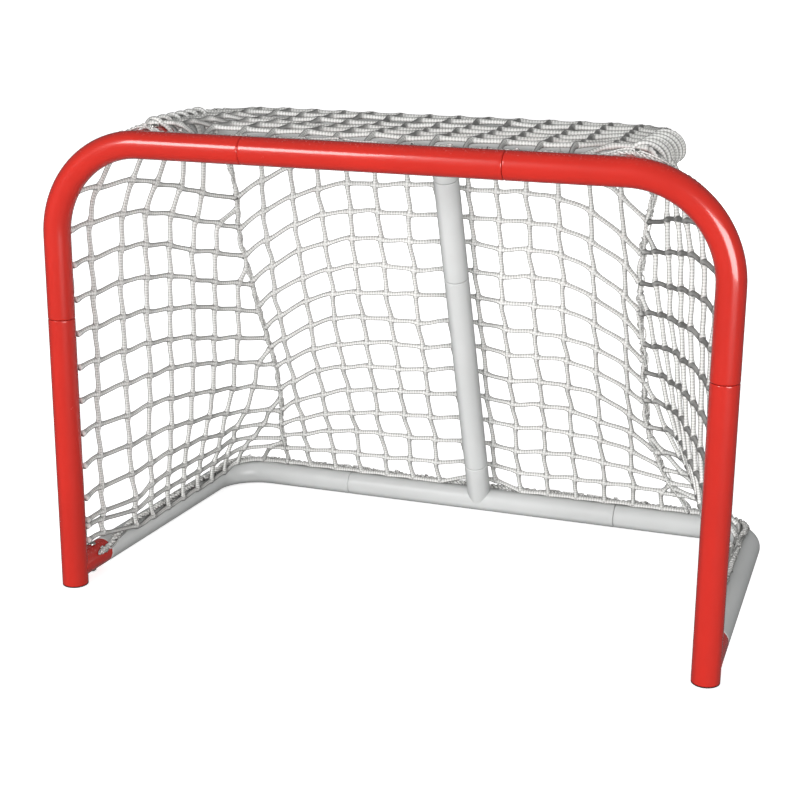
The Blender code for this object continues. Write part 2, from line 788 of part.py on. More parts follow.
def side_top(share):
    """The side panel's upper edge, outside the shelf's side tube and the start of its bend."""
    straight = SHELF_DEPTH - BASE_BEND_RADIUS - NET_CORNER_Y
    run = (straight + BASE_BEND_RADIUS * math.radians(SIDE_EDGE_WRAP)) * share
    angle = max(run - straight, 0.0) / BASE_BEND_RADIUS
    outward = X_AXIS * math.cos(angle) + Y_AXIS * math.sin(angle)
    centre = at(SHELF_X - BASE_BEND_RADIUS, NET_CORNER_Y + min(run, straight), TOP_Z)
    return on_tube(centre + outward * BASE_BEND_RADIUS, Z_AXIS, outward, SIDE_EDGE_ANGLE, EDGE_SEAT)


def blend_patch(share_across, share_up):
    """A surface between the side panel's four edges."""
    s = share_across
    v = share_up
    ruled = side_front(v) * (1 - s) + side_rear(v) * s
    lofted = side_lower(s) * (1 - v) + side_upper(s) * v
    low = side_front(0) * (1 - s) + side_rear(0) * s
    high = side_front(1) * (1 - s) + side_rear(1) * s
    return ruled + lofted - low * (1 - v) - high * v


def side_lower(s):
    """The lower edge, ending exactly on the front and rear edges."""
    drift_front = side_front(0) - side_bottom(0)
    drift_rear = side_rear(0) - side_bottom(1)
    start = 1 - smooth_step(s / EDGE_EASE)
    end = smooth_step(1 - (1 - s) / EDGE_EASE)
    return side_bottom(s) + drift_front * start + drift_rear * end


def side_upper(s):
    """The upper edge, ending exactly on the front and rear edges."""
    drift_front = side_front(1) - side_top(0)
    drift_rear = side_rear(1) - side_top(1)
    start = 1 - smooth_step(s / EDGE_EASE)
    end = smooth_step(1 - (1 - s) / HEAD_EASE)
    return side_top(s) + drift_front * start + drift_rear * end


def make_side_panel(sign, name, material):
    """Square meshes parallel to the post, cut off along the slanted seam."""
    height = (side_rear(1) - side_rear(0)).length
    lower = base_length(SEAM_FOOT_X)
    upper = SHELF_DEPTH
    columns = math.ceil(lower / NET_MESH)
    rows = rows_for(height)
    bm = bmesh.new()
    bmesh.ops.create_grid(bm, x_segments=columns, y_segments=rows, size=0.5)
    for vert in bm.verts:
        vert.co.x = (vert.co.x + 0.5) * columns * NET_MESH
        vert.co.y = vert.co.y + 0.5
    seam_normal = Vector((1, lower - upper, 0))
    geometry = list(bm.verts) + list(bm.edges) + list(bm.faces)
    bmesh.ops.bisect_plane(
        bm,
        geom=geometry,
        dist=MERGE_DISTANCE,
        plane_co=(lower, 0, 0),
        plane_no=seam_normal,
        clear_outer=True,
    )
    bmesh.ops.remove_doubles(bm, verts=bm.verts, dist=SLIVER)
    for vert in bm.verts:
        width = lower + (upper - lower) * vert.co.y
        share = vert.co.x / width
        if vert.co.x > width - SLIVER:
            share = 1.0
        point = blend_patch(share, vert.co.y)
        vert.co = Vector((sign * point.x, point.y, point.z))
    lattice(name, material, bm)


def make_seam_cord(sign, name, material):
    points = []
    for share in spaced(0.0, 1.0, 1.0 / SEAM_CORD_RUNS):
        point = back_border(share, STRAND_PITCH)
        points.append(Vector((sign * point.x, point.y, point.z)))
    make_cord(name, material, points, NET_CORD)


def make_clip(name, material, rope_point, outward, heading):
    """A wire arch over the border rope, its feet just clear of the tube."""
    arch = ROPE_RADIUS + CLIP_ROOM + CLIP_WIRE
    across = heading.cross(outward).normalized()
    foot = outward * (CLIP_WIRE - ROPE_RADIUS)
    points = [rope_point + across * arch + foot]
    for step in range(CLIP_STEPS + 1):
        angle = math.pi * step / CLIP_STEPS
        points.append(rope_point + across * (arch * math.cos(angle)) + outward * (arch * math.sin(angle)))
    points.append(rope_point - across * arch + foot)
    make_cord(name, material, points, 2 * CLIP_WIRE, 0)


def clip_on(name, material, point_at, axis_at, distance, sign):
    """Set a clip over a rope at a distance along its tube."""
    point = point_at(distance)
    axis, _ = axis_at(distance)
    ahead = point_at(distance + CLIP_WIRE) - point_at(distance - CLIP_WIRE)
    outward = (point - axis).normalized()
    flip = Vector((sign, 1, 1))
    make_clip(name, material, point * flip, outward * flip, (ahead * flip).normalized())


def make_clips(material):
    crossbar_middle = front_length()
    for sign, side in ((-1, "left"), (1, "right")):
        for number, height in enumerate(POST_CLIP_HEIGHTS, 1):
            name = f"clip_post_{side}_{number}"
            clip_on(name, material, front_rope_point, front_axis_point, height, sign)
        for number, run in enumerate(BASE_CLIP_Y, 1):
            name = f"clip_base_{side}_{number}"
            clip_on(name, material, base_rope_point, base_axis_point, run, sign)
    for number, x in enumerate(CROSSBAR_CLIP_X, 1):
        side = -1 if x < 0 else 1
        distance = crossbar_middle - abs(x)
        clip_on(f"clip_crossbar_{number}", material, front_rope_point, front_axis_point, distance, side)
    for number, x in enumerate(BACK_CLIP_X, 1):
        side = -1 if x < 0 else 1
        distance = base_length(abs(x))
        clip_on(f"clip_back_{number}", material, base_rope_point, base_axis_point, distance, side)


def build():
    clear_scene()
    red = make_material("red_enamel", (0.70, 0.035, 0.025), 0.22, 0.0)
    grey = make_material("grey_enamel", (0.56, 0.57, 0.57), 0.30, 0.0)
    black = make_material("black_plastic", (0.02, 0.02, 0.02), 0.50, 0.0)
    zinc = make_material("zinc_plate", (0.62, 0.62, 0.60), 0.28, 1.0)
    cord = make_material("white_cord", (0.74, 0.74, 0.69), 0.75, 0.0)
    for sign, side in ((-1, "left"), (1, "right")):
        make_post(sign, "post_" + side, red)
        make_top_corner(sign, "top_corner_" + side, red)
        make_base_corner(sign, "base_corner_" + side, grey)
        make_shelf_corner(sign, "shelf_corner_" + side, grey)
        make_foot_plug(sign, "foot_plug_" + side, black)
        make_side_panel(sign, "net_" + side, cord)
        make_seam_cord(sign, "seam_cord_" + side, cord)
    make_crossbar(red)
    make_tee_tube("base_back", grey, SUPPORT_FOOT, BASE_BACK_HALF, SUPPORT_AXIS)
    make_tee_tube("shelf_back", grey, SUPPORT_HEAD, SHELF_BACK_HALF, -SUPPORT_AXIS)
    make_supports(grey)
    place_fasteners(zinc)
    make_back_panel(cord)
    make_top_panel(cord)
    make_front_rope(cord)
    make_base_rope(cord)
    make_clips(zinc)


if __name__ == "__main__":
    build()
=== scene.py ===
import math
import random

import bpy
import numpy as np
from bpy.props import FloatProperty, FloatVectorProperty, IntProperty, PointerProperty
from mathutils import Matrix, Vector


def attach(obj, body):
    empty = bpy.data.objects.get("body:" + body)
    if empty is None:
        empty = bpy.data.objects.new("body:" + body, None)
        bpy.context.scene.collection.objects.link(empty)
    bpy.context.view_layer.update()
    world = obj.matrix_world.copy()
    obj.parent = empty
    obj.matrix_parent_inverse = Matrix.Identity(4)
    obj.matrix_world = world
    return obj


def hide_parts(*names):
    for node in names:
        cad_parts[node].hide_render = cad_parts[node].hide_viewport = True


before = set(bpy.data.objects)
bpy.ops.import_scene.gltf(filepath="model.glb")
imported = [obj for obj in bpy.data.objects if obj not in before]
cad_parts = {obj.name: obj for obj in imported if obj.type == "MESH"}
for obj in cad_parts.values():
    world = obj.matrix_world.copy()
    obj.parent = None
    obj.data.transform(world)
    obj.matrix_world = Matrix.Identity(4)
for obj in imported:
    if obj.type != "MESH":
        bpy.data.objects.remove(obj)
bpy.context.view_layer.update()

bl_info = {
    "name": "Street hockey goal",
    "version": (1, 0, 0),
    "blender": (4, 5, 0),
    "location": "View3D > Sidebar > Goal",
    "description": "Models a small tube frame goal with its laced rope net",
    "category": "Object",
}

# Frame, in metres
GOAL_WIDTH = 0.9144
GOAL_HEIGHT = 0.635
BASE_DEPTH = 0.490
SHELF_DEPTH = 0.271
TUBE_RADIUS = 0.018
FRONT_BEND = 0.125
BASE_BEND = 0.072
TOE_IN = 0.0125
STUB_LENGTH = 0.072
STUB_HEIGHT = 0.025
POST_SEAM = 0.381
CROSSBAR_HALF = 0.169
BASE_BACK_HALF = 0.218
SHELF_BACK_HALF = 0.169
TEE_LENGTH = 0.070
SUPPORT_LOWER = 0.338
BOLT_SETBACK = 0.027

# Tube ends
SEAM_GAP = 0.0005
ROLL_DEPTH = 0.0010
ROLL_LENGTH = 0.0020
ROLL_STEPS = 5
EDGE_HOLD = 0.0032
WALL = 0.0012
SPIGOT_SHOWN = 0.006
STUB_ROOT = 0.004
POST_FOOT = 0.0018
BEAD_SPREAD = 0.955
BEAD_STEPS = 72
BEAD_ROUNDNESS = 3
BEAD_DROP = 3
TEE_BEAD_SHARE = 0.7
SMOOTH_ANGLE = 35.0
MERGE_DISTANCE = 1e-6

# Hitches of the lacing along the border ropes
HITCH_SPACING = 0.0445

# Places worked out from the sizes
POST_Y = -BASE_DEPTH / 2
POST_X = GOAL_WIDTH / 2 - TUBE_RADIUS
TOP_Z = GOAL_HEIGHT - TUBE_RADIUS
BACK_Z = TUBE_RADIUS
SHELF_X = POST_X - FRONT_BEND
FRONT_STRAIGHT = TOP_Z - FRONT_BEND
FRONT_ARC = FRONT_BEND * math.pi / 2

X_AXIS = Vector((1, 0, 0))
Y_AXIS = Vector((0, 1, 0))
Z_AXIS = Vector((0, 0, 1))
SIDES = ((-1, "left"), (1, "right"))


def at(x, y, z):
    """A point given from the posts' axis plane."""
    return Vector((x, POST_Y + y, z))


SUPPORT_FOOT = at(0, BASE_DEPTH, BACK_Z)
SUPPORT_HEAD = at(0, SHELF_DEPTH, TOP_Z)
SUPPORT_AXIS = (SUPPORT_HEAD - SUPPORT_FOOT).normalized()
SUPPORT_BACK = SUPPORT_AXIS.cross(X_AXIS)
if SUPPORT_BACK.y < 0:
    SUPPORT_BACK.negate()


# Settings


class GoalTubeSettings(bpy.types.PropertyGroup):
    sides: IntProperty(
        name="Sides", description="Faces round each tube", default=48, min=12
    )
    front_steps: IntProperty(
        name="Top bend steps", description="Sections in each bend of the front frame", default=26
    )
    base_steps: IntProperty(
        name="Base bend steps", description="Sections in each bend of the base and shelf", default=20
    )
    bead: FloatProperty(
        name="Weld bead", description="Radius of the bead round each welded stub",
        default=0.0011, unit="LENGTH",
    )


class GoalNetSettings(bpy.types.PropertyGroup):
    hitches: FloatProperty(
        name="Hitches", description="Distance between the hitches that tie the net to a rope",
        default=HITCH_SPACING, unit="LENGTH",
    )
    cord: FloatProperty(
        name="Cord", description="Diameter of the net's cord", default=0.0064, unit="LENGTH"
    )
    swell: FloatProperty(
        name="Crossing swell", description="How much thicker the cord is at a crossing",
        default=0.50,
    )
    droop: FloatProperty(
        name="Seam droop", description="How far the back net's rows hang at the seams",
        default=0.081, unit="LENGTH",
    )
    wander: FloatProperty(
        name="Wander", description="How far a crossing lies from its even place",
        default=0.0022, unit="LENGTH",
    )
    rope: FloatProperty(
        name="Front rope", description="Diameter of the front border rope", default=0.0058,
        unit="LENGTH",
    )
    base_rope: FloatProperty(
        name="Base rope", description="Diameter of the base border rope", default=0.0078,
        unit="LENGTH",
    )
    lacing: FloatProperty(
        name="Lacing", description="Diameter of the lacing cord", default=0.0025, unit="LENGTH"
    )


class GoalColourSettings(bpy.types.PropertyGroup):
    """One colour for each slot of the frame, under the slot's name."""

    red_enamel: FloatVectorProperty(
        name="Front frame", description="Paint of the posts and the crossbar",
        default=(0.63, 0.022, 0.012, 1), size=4, min=0, max=1, subtype="COLOR",
    )
    grey_enamel: FloatVectorProperty(
        name="Base and shelf", description="Paint of the base, the support and the shelf",
        default=(0.72, 0.735, 0.73, 1), size=4, min=0, max=1, subtype="COLOR",
    )
    white_cord: FloatVectorProperty(
        name="Net", description="Cord of the nets, seams and ropes",
        default=(0.92, 0.92, 0.90, 1), size=4, min=0, max=1, subtype="COLOR",
    )
    black_plastic: FloatVectorProperty(
        name="Foot plugs", description="Plastic of the plugs in the posts",
        default=(0.02, 0.02, 0.02, 1), size=4, min=0, max=1, subtype="COLOR",
    )
    zinc_plate: FloatVectorProperty(
        name="Fittings", description="Plating of the bolts, nuts and clips",
        default=(0.66, 0.66, 0.63, 1), size=4, min=0, max=1, subtype="COLOR",
    )


# Materials


MID_GREY = (0.5, 0.5, 0.5, 1)
BLACK = (0.0, 0.0, 0.0, 1)
NODE_SPREAD = 900
GROUP_PLACE = (-500, 0)
BUMP_PLACE = (-250, -250)

# Sprayed enamel; a noise is (scale, detail, roughness) and a range is (low, high)
CLOUD_NOISE = (7.0, 3.0)
CLOUD_RANGE = (0.3, 0.7)
CLOUD_SHADE = 0.12
DUST_SLOPE = (0.55, 1.0)
DUST_NOISE = (240.0, 4.0, 0.7)
DUST_RANGE = (0.52, 0.75)
DUST_COVER = 0.10
DUST_COLOUR = (0.62, 0.60, 0.57, 1)
DUST_DULLING = 1.2
SCUFF_NOISE = (34.0, 6.0, 0.75)
SCUFF_RANGE = (0.66, 0.74)
SCUFF_DULLING = 0.10
PEEL_NOISE = (150.0, 1.0)
PEEL_HEIGHT = 0.6
WAVE_NOISE = (22.0, 1.0)
WAVE_HEIGHT = 0.9

# Braided cord
# Plait heights over which the painted shade in the crevices fades into the cord's colour
PLAIT_SHADE_FADE = (0.05, 0.75)
FUZZ_NOISE = (1500.0, 3.0, 0.8)
FUZZ_HEIGHT = 0.35
FUZZ_DULLING = 0.2
CORD_ROUGHNESS = 0.68
GRIME_NOISE = (14.0, 4.0)
GRIME_RANGE = (0.35, 0.75)
GRIME_COVER = 0.10
GRIME_COLOUR = (0.36, 0.34, 0.30, 1)

# Plated steel and moulded plastic
STAIN_NOISE = (90.0, 4.0, 0.7)
STAIN_RANGE = (0.4, 0.8)
STAIN_COVER = 0.3
STAIN_COLOUR = (0.2, 0.19, 0.17, 1)
STAIN_DULLING = 0.18

# Every slot's material: its name, group, the group's numbers, the relief's strength and depth,
# and the shader's own numbers
SURFACES = {
    "red_enamel": (
        "sprayed red", "enamel", {"Gloss": 0.24}, (0.08, 0.0005),
        {"Coat Weight": 0.55, "Coat Roughness": 0.05},
    ),
    "grey_enamel": (
        "sprayed grey", "enamel", {"Gloss": 0.36}, (0.08, 0.0005),
        {"Coat Weight": 0.06, "Coat Roughness": 0.15},
    ),
    # The cord's crevice colour is painted shade between its plaits
    "white_cord": (
        "braided white", "braid", {"Painted crevice shade": (0.48, 0.48, 0.46, 1), "Plaits": 2.0}, (0.7, 0.0007), {},
    ),
    "black_plastic": (
        "moulded black", "grain", {"Base roughness": 0.5, "Grain": 900.0}, (0.2, 0.0002), {},
    ),
    "zinc_plate": (
        "plated zinc", "grain", {"Base roughness": 0.24, "Grain": 500.0}, (0.1, 0.0001),
        {"Metallic": 1.0},
    ),
}
# The slots given painted shade where they are seen at grazing angles: the shade's colour, its amount and
# the range of angles
PAINTED_EDGE_SHADE = {
    "red_enamel": ((0.28, 0.004, 0.004, 1), 0.90, (0.30, 1.0)),
    "grey_enamel": ((0.24, 0.25, 0.25, 1), 0.90, (0.30, 1.0)),
    "white_cord": ((0.13, 0.13, 0.125, 1), 0.95, (0.25, 0.75)),
}


def new_group(name, slot):
    """A shader group with the inputs that a slot's material sets, as (group, input sockets)."""
    group = bpy.data.node_groups.new(name, "ShaderNodeTree")
    _, _, values, _, _ = SURFACES[slot]
    for title, value in {"Color": MID_GREY, **values}.items():
        kind = "NodeSocketColor" if isinstance(value, tuple) else "NodeSocketFloat"
        socket = group.interface.new_socket(name=title, in_out="INPUT", socket_type=kind)
        socket.default_value = value
    entry = group.nodes.new("NodeGroupInput")
    entry.location = (-NODE_SPREAD, 0)
    return group, entry.outputs


def finish_group(group, colour, roughness, height):
    """Give a group its outputs."""
    outputs = {"Color": colour, "Roughness": roughness, "Height": height}
    for title in outputs:
        kind = "NodeSocketColor" if title == "Color" else "NodeSocketFloat"
        group.interface.new_socket(name=title, in_out="OUTPUT", socket_type=kind)
    leave = group.nodes.new("NodeGroupOutput")
    leave.location = (NODE_SPREAD, 0)
    for title, source in outputs.items():
        group.links.new(source, leave.inputs[title])
    return group


def feed(tree, socket, value):
    """Set a socket to a number or a colour, or link another socket to it."""
    if isinstance(value, (int, float, tuple)):
        socket.default_value = value
    else:
        tree.links.new(value, socket)


def math_node(tree, operation, *values, clamp=False):
    node = tree.nodes.new("ShaderNodeMath")
    node.operation = operation
    node.use_clamp = clamp
    for socket, value in zip(node.inputs, values):
        feed(tree, socket, value)
    return node.outputs[0]


def add(tree, first, second, clamp=False):
    return math_node(tree, "ADD", first, second, clamp=clamp)


def multiply(tree, first, second, clamp=False):
    return math_node(tree, "MULTIPLY", first, second, clamp=clamp)


def mix_colour(tree, factor, first, second):
    node = tree.nodes.new("ShaderNodeMix")
    node.data_type = "RGBA"
    for name, value in (("Factor", factor), ("A", first), ("B", second)):
        socket = [s for s in node.inputs if s.name == name and s.enabled][0]
        feed(tree, socket, value)
    return [s for s in node.outputs if s.enabled][0]


def ramp(tree, value, low, high):
    """Map a value's range from low to high onto 0 to 1."""
    node = tree.nodes.new("ShaderNodeMapRange")
    node.inputs["From Min"].default_value = low
    node.inputs["From Max"].default_value = high
    tree.links.new(value, node.inputs["Value"])
    return node.outputs["Result"]


def noise(tree, scale, detail=2.0, roughness=0.5):
    node = tree.nodes.new("ShaderNodeTexNoise")
    for title, value in (("Scale", scale), ("Detail", detail), ("Roughness", roughness)):
        feed(tree, node.inputs[title], value)
    place = tree.nodes.new("ShaderNodeTexCoord")
    tree.links.new(place.outputs["Object"], node.inputs["Vector"])
    return node.outputs["Fac"]


def split_vector(tree, vector):
    node = tree.nodes.new("ShaderNodeSeparateXYZ")
    tree.links.new(vector, node.inputs[0])
    return node.outputs


def enamel_group():
    """Sprayed enamel: slight peel, faint clouding, a little dust on upper faces, fine scuffs."""
    group, entry = new_group("Sprayed enamel", "red_enamel")
    cloud = ramp(group, noise(group, *CLOUD_NOISE), *CLOUD_RANGE)
    shade = mix_colour(group, CLOUD_SHADE, entry["Color"], BLACK)
    colour = mix_colour(group, cloud, shade, entry["Color"])
    surface = group.nodes.new("ShaderNodeNewGeometry")
    upward = ramp(group, split_vector(group, surface.outputs["Normal"])["Z"], *DUST_SLOPE)
    specks = ramp(group, noise(group, *DUST_NOISE), *DUST_RANGE)
    dust = multiply(group, upward, multiply(group, specks, DUST_COVER))
    dusty = mix_colour(group, dust, colour, DUST_COLOUR)
    scuffs = ramp(group, noise(group, *SCUFF_NOISE), *SCUFF_RANGE)
    rough = add(group, entry["Gloss"], multiply(group, scuffs, SCUFF_DULLING))
    rough = add(group, rough, multiply(group, dust, DUST_DULLING), clamp=True)
    peel = multiply(group, noise(group, *PEEL_NOISE), PEEL_HEIGHT)
    wave = multiply(group, noise(group, *WAVE_NOISE), WAVE_HEIGHT)
    return finish_group(group, dusty, rough, add(group, peel, wave))


def braid_group():
    """Diagonal plaits that run both ways round a cord, read from its own length and turn, with painted
    shade in the crevices between them.
    """
    group, entry = new_group("Braided cord", "white_cord")
    lay = group.nodes.new("ShaderNodeUVMap")
    lay.uv_map = "lay"
    place = split_vector(group, lay.outputs["UV"])
    along = multiply(group, place["X"], 2 * math.pi)
    around = multiply(group, multiply(group, place["Y"], 2 * math.pi), entry["Plaits"])
    right = math_node(group, "SINE", add(group, along, around))
    left = math_node(group, "SINE", math_node(group, "SUBTRACT", along, around))
    height = math_node(group, "MULTIPLY_ADD", multiply(group, right, left), 0.5, 0.5)
    fuzz = noise(group, *FUZZ_NOISE)
    grime = ramp(group, noise(group, *GRIME_NOISE), *GRIME_RANGE)
    # Painted shade: the cord's colour darkens to the crevice shade between the plaits
    unshaded = ramp(group, height, *PLAIT_SHADE_FADE)
    colour = mix_colour(group, unshaded, entry["Painted crevice shade"], entry["Color"])
    soiled = mix_colour(group, multiply(group, grime, GRIME_COVER), colour, GRIME_COLOUR)
    rough = add(group, multiply(group, fuzz, FUZZ_DULLING), CORD_ROUGHNESS, clamp=True)
    return finish_group(group, soiled, rough, add(group, height, multiply(group, fuzz, FUZZ_HEIGHT)))


def grain_group():
    """Fine mottling for plated steel and moulded plastic."""
    group, entry = new_group("Fine grain", "zinc_plate")
    stains = ramp(group, noise(group, *STAIN_NOISE), *STAIN_RANGE)
    colour = mix_colour(group, multiply(group, stains, STAIN_COVER), entry["Color"], STAIN_COLOUR)
    rough = add(group, entry["Base roughness"], multiply(group, stains, STAIN_DULLING), clamp=True)
    return finish_group(group, colour, rough, noise(group, entry["Grain"]))


def new_material(name, group, values, relief, shader_values):
    """A Principled material fed by one group, with its constants on the shader itself."""
    material = bpy.data.materials.new(name)
    material.use_nodes = True
    tree = material.node_tree
    shader = tree.nodes["Principled BSDF"]
    source = tree.nodes.new("ShaderNodeGroup")
    source.node_tree = group
    source.location = GROUP_PLACE
    for title, value in values.items():
        source.inputs[title].default_value = value
    tree.links.new(source.outputs["Color"], shader.inputs["Base Color"])
    tree.links.new(source.outputs["Roughness"], shader.inputs["Roughness"])
    bump_node = tree.nodes.new("ShaderNodeBump")
    bump_node.location = BUMP_PLACE
    for title, value in zip(("Strength", "Distance"), relief):
        bump_node.inputs[title].default_value = value
    tree.links.new(source.outputs["Height"], bump_node.inputs["Height"])
    tree.links.new(bump_node.outputs["Normal"], shader.inputs["Normal"])
    for title, value in shader_values.items():
        shader.inputs[title].default_value = value
    return material


def paint_edge_shade(material, colour, amount, angles):
    """Paint shade into the surface's colour where it is seen at a grazing angle."""
    tree = material.node_tree
    shader = tree.nodes["Principled BSDF"]
    source = shader.inputs["Base Color"].links[0].from_socket
    facing = tree.nodes.new("ShaderNodeLayerWeight")
    facing.inputs["Blend"].default_value = 0.5
    edge = ramp(tree, facing.outputs["Facing"], *angles)
    factor = multiply(tree, edge, amount, clamp=True)
    tree.links.new(mix_colour(tree, factor, source, colour), shader.inputs["Base Color"])


def make_materials(colours):
    """The material of every slot."""
    groups = {"enamel": enamel_group(), "braid": braid_group(), "grain": grain_group()}
    materials = {}
    for slot, (name, group, values, relief, shader_values) in SURFACES.items():
        values = {"Color": getattr(colours, slot), **values}
        materials[slot] = new_material(name, groups[group], values, relief, shader_values)
    # Painted shade darkens some slots towards their outlines
    for slot, (colour, amount, angles) in PAINTED_EDGE_SHADE.items():
        paint_edge_shade(materials[slot], colour, amount, angles)
    return materials


MATERIALS = {}


def material_for(slot):
    """The material of a slot; all of them are made the first time that one is asked for."""
    if not MATERIALS:
        MATERIALS.update(make_materials(bpy.context.scene.goal_colours))
    return MATERIALS[slot]


# Modelling helpers


def deselect_all():
    if bpy.context.object and bpy.context.object.mode != "OBJECT":
        bpy.ops.object.mode_set(mode="OBJECT")
    bpy.ops.object.select_all(action="DESELECT")


class TubePen:
    """Draws a round tube section by section, with a ring that stays selected in edit mode."""

    def __init__(self, centre, heading, radius, sides):
        deselect_all()
        turn = heading.to_track_quat("Z", "Y").to_euler()
        bpy.ops.mesh.primitive_circle_add(
            vertices=sides, radius=radius, location=centre, rotation=turn
        )
        bpy.ops.object.transform_apply(location=True, rotation=True, scale=True)
        self.piece = bpy.context.object
        self.centre = centre.copy()
        self.radius = radius
        bpy.ops.object.mode_set(mode="EDIT")
        bpy.ops.mesh.select_all(action="SELECT")

    def section(self, centre, radius):
        """Extrude to a new centre and size."""
        move = centre - self.centre
        bpy.ops.mesh.extrude_region_move(TRANSFORM_OT_translate={"value": move})
        if radius != self.radius:
            grow = radius / self.radius
            bpy.ops.transform.resize(value=(grow, grow, grow), center_override=centre)
        self.centre = centre.copy()
        self.radius = radius

    def bend(self, pivot, axis, angle, steps):
        """Spin the ring about a pivot."""
        bpy.ops.mesh.spin(steps=steps, angle=-angle, center=pivot, axis=axis)
        self.centre = pivot + Matrix.Rotation(angle, 3, axis) @ (self.centre - pivot)

    def close(self, smooth=SMOOTH_ANGLE):
        """Fill both ends and leave edit mode."""
        bpy.ops.mesh.select_all(action="SELECT")
        bpy.ops.mesh.remove_doubles(threshold=MERGE_DISTANCE)
        bpy.ops.mesh.fill_holes(sides=0)
        bpy.ops.mesh.normals_make_consistent(inside=False)
        bpy.ops.object.mode_set(mode="OBJECT")
        bpy.ops.object.shade_smooth_by_angle(angle=math.radians(smooth))
        return self.piece


def rolled_edge():
    """The curve of a tube's rolled end: (inset, distance from the end), from the rim inwards."""
    angles = [math.pi / 2 * step / ROLL_STEPS for step in range(ROLL_STEPS + 1)]
    return [(ROLL_DEPTH * (1 - math.sin(a)), ROLL_LENGTH * (1 - math.cos(a))) for a in angles]


def start_tube(end, heading, spigot, sides):
    """Begin a tube at a rolled end; a spigot end first shows its narrower neck."""
    neck = TUBE_RADIUS - WALL
    depth = SPIGOT_SHOWN if spigot else -SPIGOT_SHOWN
    pen = TubePen(end - heading * depth, heading, neck, sides)
    pen.section(end, neck)
    for inset, depth in rolled_edge():
        pen.section(end + heading * depth, TUBE_RADIUS - inset)
    pen.section(end + heading * EDGE_HOLD, TUBE_RADIUS)
    return pen


def end_tube(pen, end, heading, spigot):
    """Finish a tube with a rolled end, and a spigot end with its neck as well."""
    neck = TUBE_RADIUS - WALL
    depth = SPIGOT_SHOWN if spigot else -SPIGOT_SHOWN
    pen.section(end - heading * EDGE_HOLD, TUBE_RADIUS)
    for inset, depth in reversed(rolled_edge()):
        pen.section(end - heading * depth, TUBE_RADIUS - inset)
    pen.section(end, neck)
    pen.section(end + heading * depth, neck)
    return pen.close()


def straight_tube(start, end, start_spigot, end_spigot, sides):
    heading = (end - start).normalized()
    pen = start_tube(start, heading, start_spigot, sides)
    return end_tube(pen, end, heading, end_spigot)


def bent_tube(line, radius, steps, spigots, sides):
    """A tube with one bend, along a line of start, corner and end."""
    start, corner, end = line
    into = (corner - start).normalized()
    away = (end - corner).normalized()
    turn = into.angle(away)
    reach = radius * math.tan(turn / 2)
    axis = into.cross(away).normalized()
    bend_start = corner - into * reach
    pen = start_tube(start, into, spigots[0], sides)
    pen.section(bend_start, TUBE_RADIUS)
    pen.bend(bend_start + axis.cross(into) * radius, axis, turn, steps)
    return end_tube(pen, end, away, spigots[1])


def stub_tube(root, tip, spigot, sides):
    """A stub that starts just inside its host's wall and ends in a rolled lip."""
    heading = (tip - root).normalized()
    pen = TubePen(root + heading * STUB_ROOT, heading, TUBE_RADIUS - ROLL_DEPTH, sides)
    pen.section(root + heading * (STUB_ROOT + ROLL_DEPTH), TUBE_RADIUS)
    return end_tube(pen, tip, heading, spigot)


def weld_bead(host, root, heading, size):
    """A bead along the line where a stub meets its host."""
    deselect_all()
    above = root + heading * TUBE_RADIUS * BEAD_DROP
    turn = heading.to_track_quat("Z", "Y").to_euler()
    bpy.ops.mesh.primitive_circle_add(
        vertices=BEAD_STEPS, radius=TUBE_RADIUS * BEAD_SPREAD, location=above, rotation=turn
    )
    bead = bpy.context.object
    wrap = bead.modifiers.new("onto host", "SHRINKWRAP")
    wrap.target = host
    wrap.wrap_method = "PROJECT"
    wrap.use_project_z = True
    wrap.use_positive_direction = False
    wrap.use_negative_direction = True
    bpy.ops.object.modifier_apply(modifier=wrap.name)
    bpy.ops.object.convert(target="CURVE")
    curve = bpy.context.object.data
    curve.bevel_depth = size
    curve.bevel_resolution = BEAD_ROUNDNESS
    bpy.ops.object.convert(target="MESH")
    bpy.ops.object.transform_apply(location=True, rotation=True, scale=True)
    bpy.ops.object.shade_smooth()
    return bpy.context.object


def join(pieces):
    deselect_all()
    for piece in pieces:
        piece.select_set(True)
    bpy.context.view_layer.objects.active = pieces[0]
    bpy.ops.object.join()
    return pieces[0]


def with_stub(tube, root, tip, heading, spigot, tubes, bead_share=1.0):
    """A tube joined with the stub that is welded to it."""
    stub = stub_tube(root, tip, spigot, tubes.sides)
    return join([tube, stub, weld_bead(tube, root, heading, tubes.bead * bead_share)])


def finish_piece(piece, name, slot, node):
    """Name a piece, give it its material and hang it on the frame."""
    piece.name = name
    piece.data.name = name
    piece.data.materials.clear()
    piece.data.materials.append(material_for(slot))
    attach(piece, "root")
    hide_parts(node)


def turned(centre, outline, sides, smooth=SMOOTH_ANGLE):
    """An upright lathe form from its outline of (radius, height)."""
    radius, height = outline[0]
    pen = TubePen(centre + Z_AXIS * height, Z_AXIS, radius, sides)
    for radius, height in outline[1:]:
        pen.section(centre + Z_AXIS * height, radius)
    return pen.close(smooth)


# Places along the frame


def smooth_step(value):
    value = min(max(value, 0.0), 1.0)
    return value * value * (3 - 2 * value)


def bump(distance, width):
    """1 at zero distance, falling smoothly to 0 at the given width."""
    return smooth_step(1 - abs(distance) / width)


def on_tube(centre, first, second, degrees, radius):
    """A point beside a tube's axis, turned from the first direction towards the second."""
    angle = math.radians(degrees)
    return centre + (first * math.cos(angle) + second * math.sin(angle)) * radius


def on_side(point, sign):
    """A point worked out on the right, moved to the side of a sign."""
    return Vector((sign * point.x, point.y, point.z))


def lower_stub_root(sign):
    return at(sign * POST_X, 0, STUB_HEIGHT)


def base_corner(sign):
    return at(sign * (POST_X - TOE_IN), BASE_DEPTH, BACK_Z)


def base_heading(sign):
    return (base_corner(sign) - lower_stub_root(sign)).normalized()


